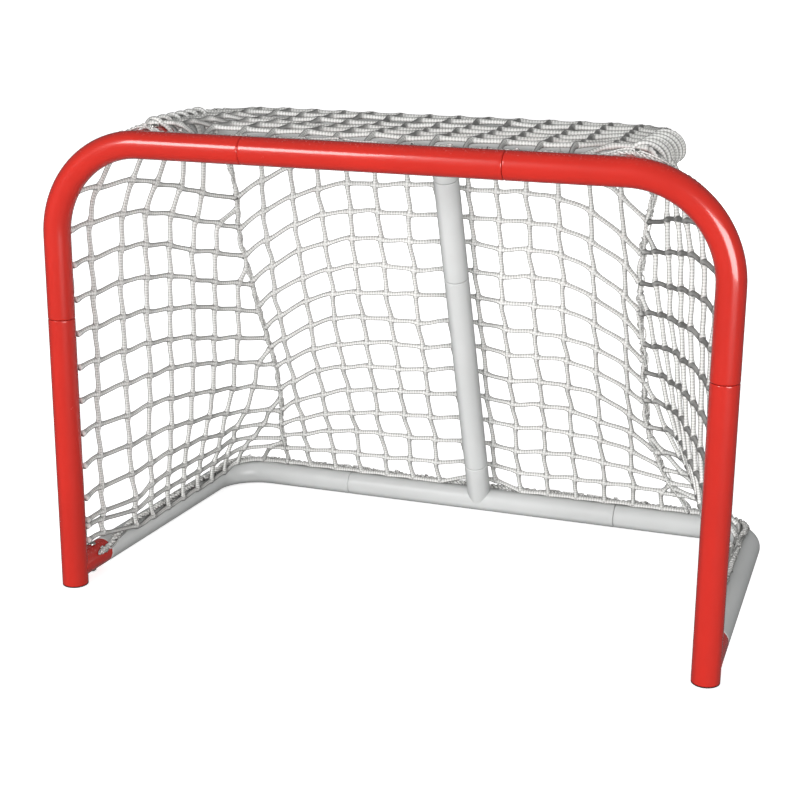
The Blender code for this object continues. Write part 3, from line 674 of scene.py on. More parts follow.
def lower_stub_tip(sign):
    return lower_stub_root(sign) + base_heading(sign) * STUB_LENGTH


def lower_bolt_place(sign):
    return lower_stub_tip(sign) - base_heading(sign) * BOLT_SETBACK


def upper_stub_tip(sign):
    return at(sign * SHELF_X, STUB_LENGTH, TOP_Z)


def upper_bolt_place(sign):
    return upper_stub_tip(sign) - Y_AXIS * BOLT_SETBACK


def front_axis(distance):
    """(point, outward) on the right half of the front frame, from the foot upwards."""
    if distance <= FRONT_STRAIGHT:
        return at(POST_X, 0, distance), X_AXIS
    if distance <= FRONT_STRAIGHT + FRONT_ARC:
        angle = (distance - FRONT_STRAIGHT) / FRONT_BEND
        outward = X_AXIS * math.cos(angle) + Z_AXIS * math.sin(angle)
        return at(SHELF_X, 0, FRONT_STRAIGHT) + outward * FRONT_BEND, outward
    return at(SHELF_X - (distance - FRONT_STRAIGHT - FRONT_ARC), 0, TOP_Z), Z_AXIS


def front_length():
    return FRONT_STRAIGHT + FRONT_ARC + SHELF_X


def base_turn():
    """How the right side tube turns into the back tube: (corner, turn, reach, straight)."""
    corner = base_corner(1)
    turn = base_heading(1).angle(-X_AXIS)
    reach = BASE_BEND * math.tan(turn / 2)
    straight = (corner - lower_stub_root(1)).length - reach
    return corner, turn, reach, straight


def base_axis(distance):
    """(point, outward) on the right half of the base, from the post to the back's middle."""
    heading = base_heading(1)
    start = lower_stub_root(1)
    corner, turn, reach, straight = base_turn()
    arc = BASE_BEND * turn
    axis = heading.cross(-X_AXIS).normalized()
    if distance <= straight:
        return start + heading * distance, heading.cross(axis)
    if distance <= straight + arc:
        swing = Matrix.Rotation((distance - straight) / BASE_BEND, 3, axis)
        centre = start + heading * straight + axis.cross(heading) * BASE_BEND
        outward = swing @ heading.cross(axis)
        return centre + outward * BASE_BEND, outward
    return corner - X_AXIS * (reach + distance - straight - arc), Y_AXIS


def base_length(foot_x=0.0):
    corner, turn, reach, straight = base_turn()
    return straight + BASE_BEND * turn + corner.x - reach - foot_x


def behind_support(height, room):
    """A point straight behind the support at a height, with room behind its wall."""
    foot = SUPPORT_FOOT + SUPPORT_BACK * (TUBE_RADIUS + room)
    return foot + SUPPORT_AXIS * ((height - foot.z) / SUPPORT_AXIS.z)


# Ropes and net edges
ROPE_SEAT = 0.0211
BASE_ROPE_SEAT = 0.0221
NET_SEAT = 0.0213
EDGE_SEAT = 0.0235
LACE_ANGLE = 26.0
POST_ROPE_ANGLE = -9.0
CROSSBAR_ROPE_ANGLE = 42.0
BASE_ROPE_ANGLE = -24.0
STUB_ROPE_ANGLE = -62.0
STUB_ROPE_REACH = 0.14
BACK_ROPE_ANGLE = 28.0
ROPE_FOOT = 0.060
ROPE_RISE_START = 0.40
ROPE_LIFT = ROPE_SEAT * (1 - math.sin(math.radians(CROSSBAR_ROPE_ANGLE)))
ROPE_LIFT_WIDTH = 0.034
PASS_WIDTH = 0.045
ROPE_PASS_ROOM = 0.0029
NET_PASS_ROOM = 0.0030
SIDE_NET_DROP = 0.027
NET_CORNER_Y = 0.0552


def front_rope_angle(distance):
    rise = FRONT_STRAIGHT + FRONT_ARC - ROPE_RISE_START
    share = smooth_step((distance - ROPE_RISE_START) / rise)
    return POST_ROPE_ANGLE + (CROSSBAR_ROPE_ANGLE - POST_ROPE_ANGLE) * share


def front_rope_point(distance):
    axis, outward = front_axis(distance)
    point = on_tube(axis, Y_AXIS, outward, front_rope_angle(distance), ROPE_SEAT)
    return point + Z_AXIS * ROPE_LIFT * bump(axis.x - SHELF_X, ROPE_LIFT_WIDTH)


def base_rope_angle(distance):
    """The rope keeps inside the side tubes, clear of the bolts, and behind the back tube."""
    _, outward = base_axis(distance)
    clear = smooth_step((distance - 2 * TUBE_RADIUS) / (STUB_ROPE_REACH - 2 * TUBE_RADIUS))
    side = STUB_ROPE_ANGLE + (BASE_ROPE_ANGLE - STUB_ROPE_ANGLE) * clear
    return side + (BACK_ROPE_ANGLE - side) * max(outward.y, 0.0)


def base_rope_point(distance):
    axis, outward = base_axis(distance)
    point = on_tube(axis, Z_AXIS, outward, base_rope_angle(distance), BASE_ROPE_SEAT)
    share = bump(axis.x, PASS_WIDTH)
    over = behind_support(BACK_Z + TUBE_RADIUS, ROPE_PASS_ROOM)
    over.x = point.x
    return point.lerp(over, smooth_step(share * 2))


# Cords

CORD_SIDES = 10
SEAM_CORD_SIDES = 12
LAY_LENGTH = 0.0080
STEEP_START = 0.8
SHORTEST = 1e-12


def unit_rows(array):
    return array / np.maximum(np.linalg.norm(array, axis=1), SHORTEST)[:, None]


def run_lengths(points):
    """The length from the first point to each one."""
    gaps = np.linalg.norm(np.diff(points, axis=0), axis=1)
    return np.concatenate([[0.0], np.cumsum(gaps)])


def carried_sides(points):
    """A side direction at every point, carried along the path without twist."""
    heading = unit_rows(np.gradient(points, axis=0))
    sides = np.empty_like(points)
    start = np.array((0.0, 0.0, 1.0))
    if abs(heading[0] @ start) > STEEP_START:
        start = np.array((1.0, 0.0, 0.0))
    side = start - heading[0] * (start @ heading[0])
    for number, aim in enumerate(heading):
        side = side - aim * (side @ aim)
        side = side / np.linalg.norm(side)
        sides[number] = side
    return heading, sides


class CordMesh:
    """Gathers swept cords into one mesh, with the length and turn of each stored as a UV map."""

    def __init__(self, sides=CORD_SIDES):
        self.sides = sides
        self.verts = []
        self.faces = []
        self.lay = []
        self.count = 0

    def add(self, points, radii, offset=0.0):
        """Sweep one cord along its points, closed at both ends."""
        points = np.asarray(points, dtype=float)
        radii = np.broadcast_to(np.asarray(radii, dtype=float), (len(points),))
        heading, across = carried_sides(points)
        other = np.cross(heading, across)
        angles = np.linspace(0, 2 * math.pi, self.sides, endpoint=False)
        circle = (
            np.cos(angles)[None, :, None] * across[:, None, :]
            + np.sin(angles)[None, :, None] * other[:, None, :]
        )
        rings = points[:, None, :] + radii[:, None, None] * circle
        length = (run_lengths(points) + offset) / LAY_LENGTH
        total = len(points)
        ring = np.arange(self.sides)
        rows = np.arange(total - 1)[:, None] * self.sides
        first = rows + ring[None, :]
        following = rows + (ring[None, :] + 1) % self.sides
        quads = np.stack([first, following, following + self.sides, first + self.sides], axis=-1)
        u_start = np.broadcast_to(length[:-1, None], first.shape)
        u_end = np.broadcast_to(length[1:, None], first.shape)
        u = np.stack([u_start, u_start, u_end, u_end], axis=-1)
        turn = np.broadcast_to((ring / self.sides)[None, :], first.shape)
        next_turn = turn + 1 / self.sides
        v = np.stack([turn, next_turn, next_turn, turn], axis=-1)
        self.verts.append(rings.reshape(-1, 3))
        self.faces.append(quads.reshape(-1, 4) + self.count)
        self.lay.append(np.stack([u, v], axis=-1).reshape(-1, 2))
        tips = np.array([points[0], points[-1]])
        base = self.count + total * self.sides
        self.verts.append(tips)
        start = np.stack([ring, (ring + 1) % self.sides], axis=-1) + self.count
        end = start[:, ::-1] + (total - 1) * self.sides
        for tip, pairs, along in ((base, start, length[0]), (base + 1, end, length[-1])):
            fan = np.concatenate([pairs[:, ::-1], np.full((self.sides, 1), tip)], axis=1)
            self.faces.append(fan)
            self.lay.append(np.tile(np.array([[along, 0.0]]), (3 * self.sides, 1)))
        self.count = base + 2

    def make(self):
        mesh = bpy.data.meshes.new("cords")
        verts = np.concatenate(self.verts)
        faces = [list(row) for block in self.faces for row in block.tolist()]
        mesh.from_pydata(verts.tolist(), [], faces)
        layer = mesh.uv_layers.new(name="lay")
        layer.data.foreach_set("uv", np.concatenate(self.lay).ravel())
        mesh.update()
        piece = bpy.data.objects.new("cords", mesh)
        bpy.context.collection.objects.link(piece)
        deselect_all()
        piece.select_set(True)
        bpy.context.view_layer.objects.active = piece
        bpy.ops.object.mode_set(mode="EDIT")
        bpy.ops.mesh.select_all(action="SELECT")
        bpy.ops.mesh.normals_make_consistent(inside=False)
        bpy.ops.object.mode_set(mode="OBJECT")
        bpy.ops.object.shade_smooth()
        return piece


def spline_through(nodes, tilts, steps):
    """Points along a smooth line through the nodes, whose heading at each node is tilted a little."""
    nodes = [np.asarray(n, dtype=float) for n in nodes]
    count = len(nodes)
    slopes = []
    for number in range(count):
        before = nodes[max(number - 1, 0)]
        after = nodes[min(number + 1, count - 1)]
        span = 2.0 if 0 < number < count - 1 else 1.0
        slopes.append((after - before) / span + np.asarray(tilts[number], dtype=float))
    points = []
    for number in range(count - 1):
        a, b = nodes[number], nodes[number + 1]
        m, n = slopes[number], slopes[number + 1]
        for step in range(steps):
            t = step / steps
            points.append(
                a * (2 * t**3 - 3 * t**2 + 1) + m * (t**3 - 2 * t**2 + t)
                + b * (3 * t**2 - 2 * t**3) + n * (t**3 - t**2)
            )
    points.append(nodes[-1])
    return np.array(points)


SWELL_REACH = 0.0066
NET_STEPS = 10


def net_cord(cords, nodes, tilts, radius, swell, chance):
    """One cord of a panel, thicker where it crosses the others."""
    points = spline_through(nodes, tilts, NET_STEPS)
    length = run_lengths(points)
    crossings = length[::NET_STEPS]
    near = np.abs(length[:, None] - crossings[None, :]).min(axis=1)
    radii = radius * (1 + swell * np.exp(-((near / SWELL_REACH) ** 2)))
    cords.add(points, radii, chance.uniform(0, LAY_LENGTH))


ROW_TILT = -0.22
COLUMN_TILT = 0.20
TILT_CHANCE = 0.10
WANDER_STEP = 0.3
CUT_MARGIN = 0.35
CUT_REACH = 0.6


class CutNet:
    """A square net whose outer cords run into its borders.

    The place function gives a crossing from its column and row, which may be fractions.
    The borders are functions of a row that give a point on either edge.
    """

    def __init__(self, columns, rows, place, inside, borders, settings, seed):
        self.columns = columns
        self.rows = rows
        self.place = place
        self.borders = borders
        self.settings = settings
        self.chance = random.Random(seed)
        self.crossings = {}
        for row in range(rows + 1):
            for column in range(columns):
                if inside(column, row):
                    self.crossings[column, row] = self.crossing(column, row)

    def along(self, column, row):
        return self.place(column + WANDER_STEP, row) - self.place(column - WANDER_STEP, row)

    def across(self, column, row):
        high = min(row + WANDER_STEP, self.rows)
        low = max(row - WANDER_STEP, 0)
        return (self.place(column, high) - self.place(column, low)) * (2 * WANDER_STEP / (high - low))

    def crossing(self, column, row):
        """A crossing, a little off its even place unless it lies on the upper or lower edge."""
        point = self.place(column, row)
        if row in (0, self.rows):
            return point
        along = self.along(column, row)
        across = self.across(column, row)
        return wandered(point, along, across, self.settings.wander, self.chance)

    def lean(self, direction, amount):
        size = (amount + self.chance.uniform(-TILT_CHANCE, TILT_CHANCE)) / (2 * WANDER_STEP)
        return np.asarray(direction) * size

    def lay(self, cords, nodes, tilts):
        net_cord(cords, nodes, tilts, self.settings.cord / 2, self.settings.swell, self.chance)

    def lay_row(self, cords, row):
        low, high = self.borders
        kept = [c for c in range(self.columns) if (c, row) in self.crossings]
        nodes = [low(row)] + [self.crossings[c, row] for c in kept] + [high(row)]
        tilts = [self.lean(self.across(c, row), ROW_TILT) for c in kept]
        still = np.zeros(3)
        self.lay(cords, nodes, [still] + tilts + [still])

    def runs(self, column):
        """The unbroken runs of rows in one column."""
        found = []
        for row in range(self.rows + 1):
            if (column, row) not in self.crossings:
                continue
            if found and found[-1][-1] == row - 1:
                found[-1].append(row)
            else:
                found.append([row])
        return found

    def on_border(self, column, row, step):
        """Where a cut column meets the nearer border, above or below its last crossing."""
        last = self.crossings[column, row]
        border = min(self.borders, key=lambda edge: (edge(row) - last).length)
        return border(row + step * CUT_REACH)

    def lay_run(self, cords, column, run):
        nodes = [self.crossings[column, r] for r in run]
        tilts = [self.lean(self.along(column, r), COLUMN_TILT) for r in run]
        still = np.zeros(3)
        if run[0] > 0:
            nodes.insert(0, self.on_border(column, run[0], -1))
            tilts.insert(0, still)
        else:
            tilts[0] = still
        if run[-1] < self.rows:
            nodes.append(self.on_border(column, run[-1], 1))
            tilts.append(still)
        else:
            tilts[-1] = still
        if len(nodes) > 1:
            self.lay(cords, nodes, tilts)

    def make(self):
        cords = CordMesh()
        for row in range(self.rows + 1):
            self.lay_row(cords, row)
        for column in range(self.columns):
            for run in self.runs(column):
                self.lay_run(cords, column, run)
        return cords.make()


# Net panels

BACK_COLUMNS = 15
BACK_ROWS = 15
TOP_ROWS = 6
SIDE_ROWS = 14
BACK_HALF = 0.3335
HEAD_HALF = 0.3260
HEAD_TAPER = 0.012
BACK_SAG = 0.016
FOLD_ANGLE = 40.0
PASS_RISE = 0.008
PASS_SHARE = 0.067
DROOP_START = 0.10
DROOP_TOP = 0.12
DROOP_FOOT = 0.30
DROOP_POWER = 2.5
DROOP_LOW = 0.74
DROOP_FADE_START = 0.38
DROOP_FADE_REACH = 0.24
FOOT_GAP = 0.18
CELLS_UP = 14.2
SEAM_FOOT_X = 0.322
HEAD_GATHER = 0.0225
HEAD_GATHER_START = 0.8
WANDER_DEPTH = 0.7
TOP_SAG = 0.004
TOP_SAG_EDGE = 0.05
TOP_CORNER_WIDTH = 0.095
TOP_REST_FRONT = 0.2
TOP_REST_BACK = 0.12
BACK_SEED = 11
TOP_SEED = 21

# Half width of the back net at the seams, as (share of the height, half width)
SEAM_LEFT = (
    (0.0, 0.328), (0.087, 0.325), (0.13, 0.325), (0.195, 0.314), (0.325, 0.309),
    (0.455, 0.314), (0.605, 0.3175), (0.685, 0.321), (0.784, 0.3155), (1.0, 0.320),
)
SEAM_RIGHT = (
    (0.0, 0.334), (0.031, 0.317), (0.057, 0.305), (0.108, 0.294), (0.148, 0.284), (0.215, 0.2715),
    (0.325, 0.2665), (0.435, 0.2695), (0.565, 0.264), (0.665, 0.2665), (0.745, 0.272), (1.0, 0.306),
)
SEAM_BLUR = (-0.03, -0.015, 0.0, 0.015, 0.03)


def seam_half(sign, height):
    """Half width of the back net on one side, smoothed between its measured places."""
    heights, halves = zip(*(SEAM_RIGHT if sign > 0 else SEAM_LEFT))
    return float(np.mean([np.interp(height + drift, heights, halves) for drift in SEAM_BLUR]))


def fold_point(x, degrees):
    """A point on the net's fold, round the outside of the shelf's back tube and its bends."""
    lean = math.radians(degrees)
    out = EDGE_SEAT * math.sin(lean)
    z = TOP_Z + EDGE_SEAT * math.cos(lean)
    bend_x = SHELF_X - BASE_BEND
    around = BASE_BEND + out
    beyond = min(max(abs(x) - bend_x, 0.0), around)
    return at(x, SHELF_DEPTH - BASE_BEND + math.sqrt(around**2 - beyond**2), z)


def foot_point(x):
    angle = BACK_ROPE_ANGLE - LACE_ANGLE
    return on_tube(at(x, BASE_DEPTH, BACK_Z), Z_AXIS, Y_AXIS, angle, NET_SEAT)


BACK_LENGTH = (fold_point(0, FOLD_ANGLE) - foot_point(0)).length


def seam_drop(share, droop):
    """How far a row of the back net hangs at the seam, as a share of the net's height."""
    hold = smooth_step(share / DROOP_FOOT) * smooth_step((1 - share) / DROOP_TOP)
    fade = DROOP_LOW + (1 - DROOP_LOW) * smooth_step((share - DROOP_FADE_START) / DROOP_FADE_REACH)
    return droop * hold * fade / BACK_LENGTH


def seam_at(sign, height):
    """The seam's own line, from the foot at 0 to the fold at 1."""
    return back_surface(sign * seam_half(sign, height), height)


def back_surface(x, height):
    """The back net as a sheet: hung from the fold, laced at its foot, sagging forwards."""
    point = foot_point(x).lerp(fold_point(x, FOLD_ANGLE), height)
    point.y -= BACK_SAG * math.sin(math.pi * height) ** 2
    near = smooth_step(2 * bump(x, PASS_WIDTH))
    point.z += PASS_RISE * near * max(0.0, 1 - height / PASS_SHARE)
    pass_y = behind_support(point.z, NET_PASS_ROOM).y
    if height < 1:
        point.y += max(pass_y - point.y, 0.0) * near
    return point


def back_point(x, share_up, droop):
    """A place on the back net's own rows, which lie low near the seams."""
    drop = seam_drop(share_up, droop)
    half = seam_half(x, share_up - drop)
    beyond = max(abs(x) - DROOP_START, 0.0) / (half - DROOP_START)
    return back_surface(x, share_up - drop * beyond**DROOP_POWER)


def wandered(point, along, across, amount, chance):
    """Move a crossing a little off its even place."""
    normal = along.cross(across).normalized()
    return (
        point
        + along.normalized() * chance.uniform(-amount, amount)
        + across.normalized() * chance.uniform(-amount, amount)
        + normal * chance.uniform(-amount, amount) * WANDER_DEPTH
    )


def back_net(settings):
    cell = 2 * BACK_HALF / BACK_COLUMNS

    def column_x(column, share):
        even = (column - BACK_COLUMNS / 2) * cell
        near_head = smooth_step((share - HEAD_GATHER_START) / (1 - HEAD_GATHER_START))
        return even * (1 - HEAD_GATHER * near_head)

    def row_share(row):
        """The first row lies a short cell above the foot, the last one on the fold."""
        if row <= 0 or row >= BACK_ROWS:
            return min(max(row, 0), BACK_ROWS) / BACK_ROWS
        return min(max((row - FOOT_GAP) / CELLS_UP, 0.0), 1.0)

    def place(column, row):
        share = row_share(row)
        return back_point(column_x(column, share), share, settings.droop)

    def inside(column, row):
        share = row_share(row)
        x = column_x(column, share)
        half = seam_half(x, share - seam_drop(share, settings.droop))
        return abs(x) < half - CUT_MARGIN * cell

    def on_seam(row, sign):
        share = row_share(row)
        return seam_at(sign, share - seam_drop(share, settings.droop))

    borders = [lambda row, sign=sign: on_seam(row, sign) for sign in (-1, 1)]
    return CutNet(BACK_COLUMNS + 1, BACK_ROWS, place, inside, borders, settings, BACK_SEED)


def top_point(x, share_back):
    """The top net: laced behind the crossbar, lying on the shelf tubes, sagging a little."""
    front_angle = 90 - CROSSBAR_ROPE_ANGLE + LACE_ANGLE
    front = on_tube(at(x, 0, TOP_Z), Z_AXIS, Y_AXIS, front_angle, NET_SEAT)
    on_stub = at(x, NET_CORNER_Y, TOP_Z + NET_SEAT)
    front = front.lerp(on_stub, smooth_step(2 * bump(abs(x) - SHELF_X, TOP_CORNER_WIDTH)))
    point = front.lerp(fold_point(x, FOLD_ANGLE), share_back)
    rest = TOP_Z + NET_SEAT
    blend = smooth_step(share_back / TOP_REST_FRONT) * smooth_step((1 - share_back) / TOP_REST_BACK)
    point.z += (rest - point.z) * blend
    clear = smooth_step((SHELF_X - TUBE_RADIUS - abs(x)) / TOP_SAG_EDGE)
    point.z -= TOP_SAG * clear * math.sin(math.pi * share_back)
    return point


TOP_EDGE_LEAN = 38.0


def shelf_shoulder(sign, place):
    """The point on a shelf side tube's outer shoulder that is as far back as a place."""
    back = place.y - at(0, 0, 0).y
    bend = SHELF_DEPTH - BASE_BEND
    angle = math.asin(min(max(back - bend, 0.0) / BASE_BEND, 1.0))
    outward = X_AXIS * math.cos(angle) + Y_AXIS * math.sin(angle)
    axis = at(SHELF_X - BASE_BEND, min(back, bend), TOP_Z) + outward * BASE_BEND
    return on_side(on_tube(axis, Z_AXIS, outward, TOP_EDGE_LEAN, EDGE_SEAT), sign)


def top_net(settings):
    def half(row):
        return HEAD_HALF - HEAD_TAPER * smooth_step(row / TOP_ROWS)

    def place(column, row):
        return top_point((2 * column / BACK_COLUMNS - 1) * half(row), row / TOP_ROWS)

    def inside(column, row):
        return 0 < column < BACK_COLUMNS

    def on_edge(row, sign):
        end = top_point(sign * half(row), row / TOP_ROWS)
        return shelf_shoulder(sign, end) if 0 < row < TOP_ROWS else end

    borders = [lambda row, sign=sign: on_edge(row, sign) for sign in (-1, 1)]
    return CutNet(BACK_COLUMNS + 1, TOP_ROWS, place, inside, borders, settings, TOP_SEED)


# Side panels, between four edges
SIDE_TOP_LEAN = 58.0
SIDE_TOP_TURN = 22.0
SEAM_FOOT_ROOM = 0.008


def side_front(share):
    end = FRONT_STRAIGHT + FRONT_ARC - SIDE_NET_DROP
    distance = ROPE_FOOT + (end - ROPE_FOOT) * share
    axis, outward = front_axis(distance)
    return on_tube(axis, Y_AXIS, outward, front_rope_angle(distance) - LACE_ANGLE, NET_SEAT)


def side_bottom(share):
    end = base_length(SEAM_FOOT_X + SEAM_FOOT_ROOM)
    distance = STUB_LENGTH + (end - STUB_LENGTH) * share
    axis, outward = base_axis(distance)
    return on_tube(axis, Z_AXIS, outward, base_rope_angle(distance) - LACE_ANGLE, NET_SEAT)


def side_top(share, lean=SIDE_TOP_LEAN, room=0.0):
    """A point beside the shelf's side tube, at an angle round it and a room off its net."""
    straight = SHELF_DEPTH - BASE_BEND - NET_CORNER_Y
    run = (straight + BASE_BEND * math.radians(SIDE_TOP_TURN)) * share
    angle = max(run - straight, 0.0) / BASE_BEND
    outward = X_AXIS * math.cos(angle) + Y_AXIS * math.sin(angle)
    centre = at(SHELF_X - BASE_BEND, NET_CORNER_Y + min(run, straight), TOP_Z)
    return on_tube(centre + outward * BASE_BEND, Z_AXIS, outward, lean, EDGE_SEAT + room)


EDGE_PULL = 3
EDGE_FRONT_REACH = 6
EDGE_REAR_REACH = 3
SEAM_STEP = 0.003
SIDE_DROOP = 0.056


class SidePatch:
    """A side panel pulled taut between post and seam, drawn out to its lower and upper edges.

    It is always worked out on the right.
    """

    def __init__(self, sign):
        self.sign = sign

    def rear(self, share):
        hold = smooth_step(share / DROOP_FOOT) * smooth_step((1 - share) / DROOP_TOP)
        point = seam_at(self.sign, share - SIDE_DROOP * hold / BACK_LENGTH)
        return Vector((abs(point.x) + SEAM_STEP, point.y, point.z))

    def eased(self, edge, share, low, high):
        """An edge whose ends are moved to the panel's corners."""
        drift_low = low - edge(0)
        drift_high = high - edge(1)
        start = 1 - smooth_step(EDGE_FRONT_REACH * share)
        end = smooth_step(EDGE_REAR_REACH * share - (EDGE_REAR_REACH - 1))
        return edge(share) + drift_low * start + drift_high * end

    def point(self, s, v):
        corners = (side_front(0), self.rear(0), side_front(1), self.rear(1))
        lower = self.eased(side_bottom, s, corners[0], corners[1])
        upper = self.eased(side_top, s, corners[2], corners[3])
        taut = side_front(v) * (1 - s) + self.rear(v) * s
        low = corners[0] * (1 - s) + corners[1] * s
        high = corners[2] * (1 - s) + corners[3] * s
        return taut + (lower - low) * (1 - v) ** EDGE_PULL + (upper - high) * v**EDGE_PULL

    def placed(self, s, v):
        return on_side(self.point(s, v), self.sign)


SIDE_COLUMNS = 11
SIDE_CELLS_LOW = 10.5
SIDE_CELLS_TAPER = 5.4
FIRST_COLUMN = 0.57
POST_DROP = 0.072
POST_DROP_REACH_LEFT = 0.62
POST_DROP_REACH_RIGHT = 0.90
ROW_SPREAD = 0.09
ROW_SPREAD_PLACE = 0.65
ROW_HOLD_REACH = 5
SIDE_SEEDS = {"left": 31, "right": 41}


def side_row(s, share, reach):
    """How high a row lies at a place across a side net: low at the post, then nearly level."""
    drop = -POST_DROP * max(1 - s / reach, 0.0) ** 2
    spread = ROW_SPREAD * (share - ROW_SPREAD_PLACE)
    hold = smooth_step(share * ROW_HOLD_REACH) * smooth_step((1 - share) * ROW_HOLD_REACH)
    return share + (drop + spread) * hold


def side_net(sign, settings, seed):
    """Square meshes that start half a cell from the post and run into the slanted seam."""
    patch = SidePatch(sign)
    reach = POST_DROP_REACH_RIGHT if sign > 0 else POST_DROP_REACH_LEFT

    def share_across(column, share):
        return (column + FIRST_COLUMN) / (SIDE_CELLS_LOW - SIDE_CELLS_TAPER * share)

    def on_patch(s, share):
        s = min(max(s, 0.0), 1.0)
        return patch.placed(s, side_row(s, share, reach))

    def place(column, row):
        share = row / SIDE_ROWS
        return on_patch(share_across(column, share), share)

    def inside(column, row):
        share = row / SIDE_ROWS
        margin = CUT_MARGIN / (SIDE_CELLS_LOW - SIDE_CELLS_TAPER * share)
        return share_across(column, share) < 1 - margin

    borders = [lambda row, s=s: on_patch(s, row / SIDE_ROWS) for s in (0.0, 1.0)]
    return CutNet(SIDE_COLUMNS, SIDE_ROWS, place, inside, borders, settings, seed)


# Operators


class GOAL_OT_posts(bpy.types.Operator):
    """Model the two posts with the stubs that the base tubes plug into"""

    bl_idname = "goal.posts"
    bl_label = "Posts"

    def execute(self, context):
        tubes = context.scene.goal_tubes
        for sign, side in SIDES:
            foot = at(sign * POST_X, 0, POST_FOOT)
            seam = at(sign * POST_X, 0, POST_SEAM - SEAM_GAP / 2)
            post = straight_tube(foot, seam, False, True, tubes.sides)
            heading = base_heading(sign)
            tip = lower_stub_tip(sign) - heading * SEAM_GAP / 2
            post = with_stub(post, lower_stub_root(sign), tip, heading, False, tubes)
            finish_piece(post, "post_tube_" + side, "red_enamel", "post_" + side)
        return {"FINISHED"}


class GOAL_OT_top_corners(bpy.types.Operator):
    """Model the two bent tubes at the goal's upper corners, each with its rear stub"""

    bl_idname = "goal.top_corners"
    bl_label = "Top corners"

    def execute(self, context):
        tubes = context.scene.goal_tubes
        spigots = (False, False)
        for sign, side in SIDES:
            seam = at(sign * POST_X, 0, POST_SEAM + SEAM_GAP / 2)
            corner = at(sign * POST_X, 0, TOP_Z)
            end = at(sign * (CROSSBAR_HALF + SEAM_GAP / 2), 0, TOP_Z)
            line = (seam, corner, end)
            bent = bent_tube(line, FRONT_BEND, tubes.front_steps, spigots, tubes.sides)
            tip = upper_stub_tip(sign) - Y_AXIS * SEAM_GAP / 2
            bent = with_stub(bent, at(sign * SHELF_X, 0, TOP_Z), tip, Y_AXIS, False, tubes)
            finish_piece(bent, "top_corner_tube_" + side, "red_enamel", "top_corner_" + side)
        return {"FINISHED"}


class GOAL_OT_crossbar(bpy.types.Operator):
    """Model the straight middle length of the crossbar"""

    bl_idname = "goal.crossbar"
    bl_label = "Crossbar"

    def execute(self, context):
        half = CROSSBAR_HALF - SEAM_GAP / 2
        ends = (at(-half, 0, TOP_Z), at(half, 0, TOP_Z))
        tube = straight_tube(*ends, True, True, context.scene.goal_tubes.sides)
        finish_piece(tube, "crossbar_tube", "red_enamel", "crossbar")
        return {"FINISHED"}


class GOAL_OT_base_corners(bpy.types.Operator):
    """Model the bent tubes at the rear corners of the base and of the shelf"""

    bl_idname = "goal.base_corners"
    bl_label = "Base and shelf corners"

    def execute(self, context):
        tubes = context.scene.goal_tubes
        spigots = (True, False)
        for sign, side in SIDES:
            shelf_corner = at(sign * SHELF_X, SHELF_DEPTH, TOP_Z)
            plans = (
                ("base", lower_stub_tip(sign), base_heading(sign), base_corner(sign), BASE_BACK_HALF),
                ("shelf", upper_stub_tip(sign), Y_AXIS, shelf_corner, SHELF_BACK_HALF),
            )
            for part, tip, heading, corner, half in plans:
                start = tip + heading * SEAM_GAP / 2
                end = Vector((sign * (half + SEAM_GAP / 2), corner.y, corner.z))
                line = (start, corner, end)
                tube = bent_tube(line, BASE_BEND, tubes.base_steps, spigots, tubes.sides)
                name = f"{part}_corner_tube_{side}"
                finish_piece(tube, name, "grey_enamel", f"{part}_corner_{side}")
        return {"FINISHED"}


class GOAL_OT_tee_tubes(bpy.types.Operator):
    """Model the base's and the shelf's back tubes, each with a tee stub for the support"""

    bl_idname = "goal.tee_tubes"
    bl_label = "Back tubes"

    def execute(self, context):
        tubes = context.scene.goal_tubes
        plans = (
            ("base_back", SUPPORT_FOOT, BASE_BACK_HALF, SUPPORT_AXIS),
            ("shelf_back", SUPPORT_HEAD, SHELF_BACK_HALF, -SUPPORT_AXIS),
        )
        for node, centre, half, heading in plans:
            side_step = X_AXIS * (half - SEAM_GAP / 2)
            tube = straight_tube(centre - side_step, centre + side_step, True, True, tubes.sides)
            tip = centre + heading * (TEE_LENGTH - SEAM_GAP / 2)
            tee = with_stub(tube, centre, tip, heading, True, tubes, TEE_BEAD_SHARE)
            finish_piece(tee, node + "_tube", "grey_enamel", node)
        return {"FINISHED"}


class GOAL_OT_support(bpy.types.Operator):
    """Model the two tubes of the raked centre support"""

    bl_idname = "goal.support"
    bl_label = "Centre support"

    def execute(self, context):
        sides = context.scene.goal_tubes.sides
        low = SUPPORT_FOOT + SUPPORT_AXIS * (TEE_LENGTH + SEAM_GAP / 2)
        seam = SUPPORT_FOOT + SUPPORT_AXIS * (TEE_LENGTH + SUPPORT_LOWER)
        high = SUPPORT_HEAD - SUPPORT_AXIS * (TEE_LENGTH + SEAM_GAP / 2)
        gap = SUPPORT_AXIS * SEAM_GAP / 2
        lower = straight_tube(low, seam - gap, False, True, sides)
        upper = straight_tube(seam + gap, high, False, False, sides)
        finish_piece(lower, "support_lower_tube", "grey_enamel", "support_lower")
        finish_piece(upper, "support_upper_tube", "grey_enamel", "support_upper")
        return {"FINISHED"}


# A plug's outline as (radius, height), from its foot upwards
PLUG_OUTLINE = (
    (0.0150, 0.0), (0.0168, 0.0002), (0.0178, 0.0008), (TUBE_RADIUS, 0.0015),
    (0.0163, 0.0015), (0.0163, 0.0195), (0.0152, 0.0205),
)


class GOAL_OT_foot_plugs(bpy.types.Operator):
    """Model the plastic plugs in the feet of the posts"""

    bl_idname = "goal.foot_plugs"
    bl_label = "Foot plugs"

    def execute(self, context):
        sides = context.scene.goal_tubes.sides
        for sign, side in SIDES:
            plug = turned(at(sign * POST_X, 0, 0), PLUG_OUTLINE, sides)
            finish_piece(plug, "plug_" + side, "black_plastic", "foot_plug_" + side)
        return {"FINISHED"}


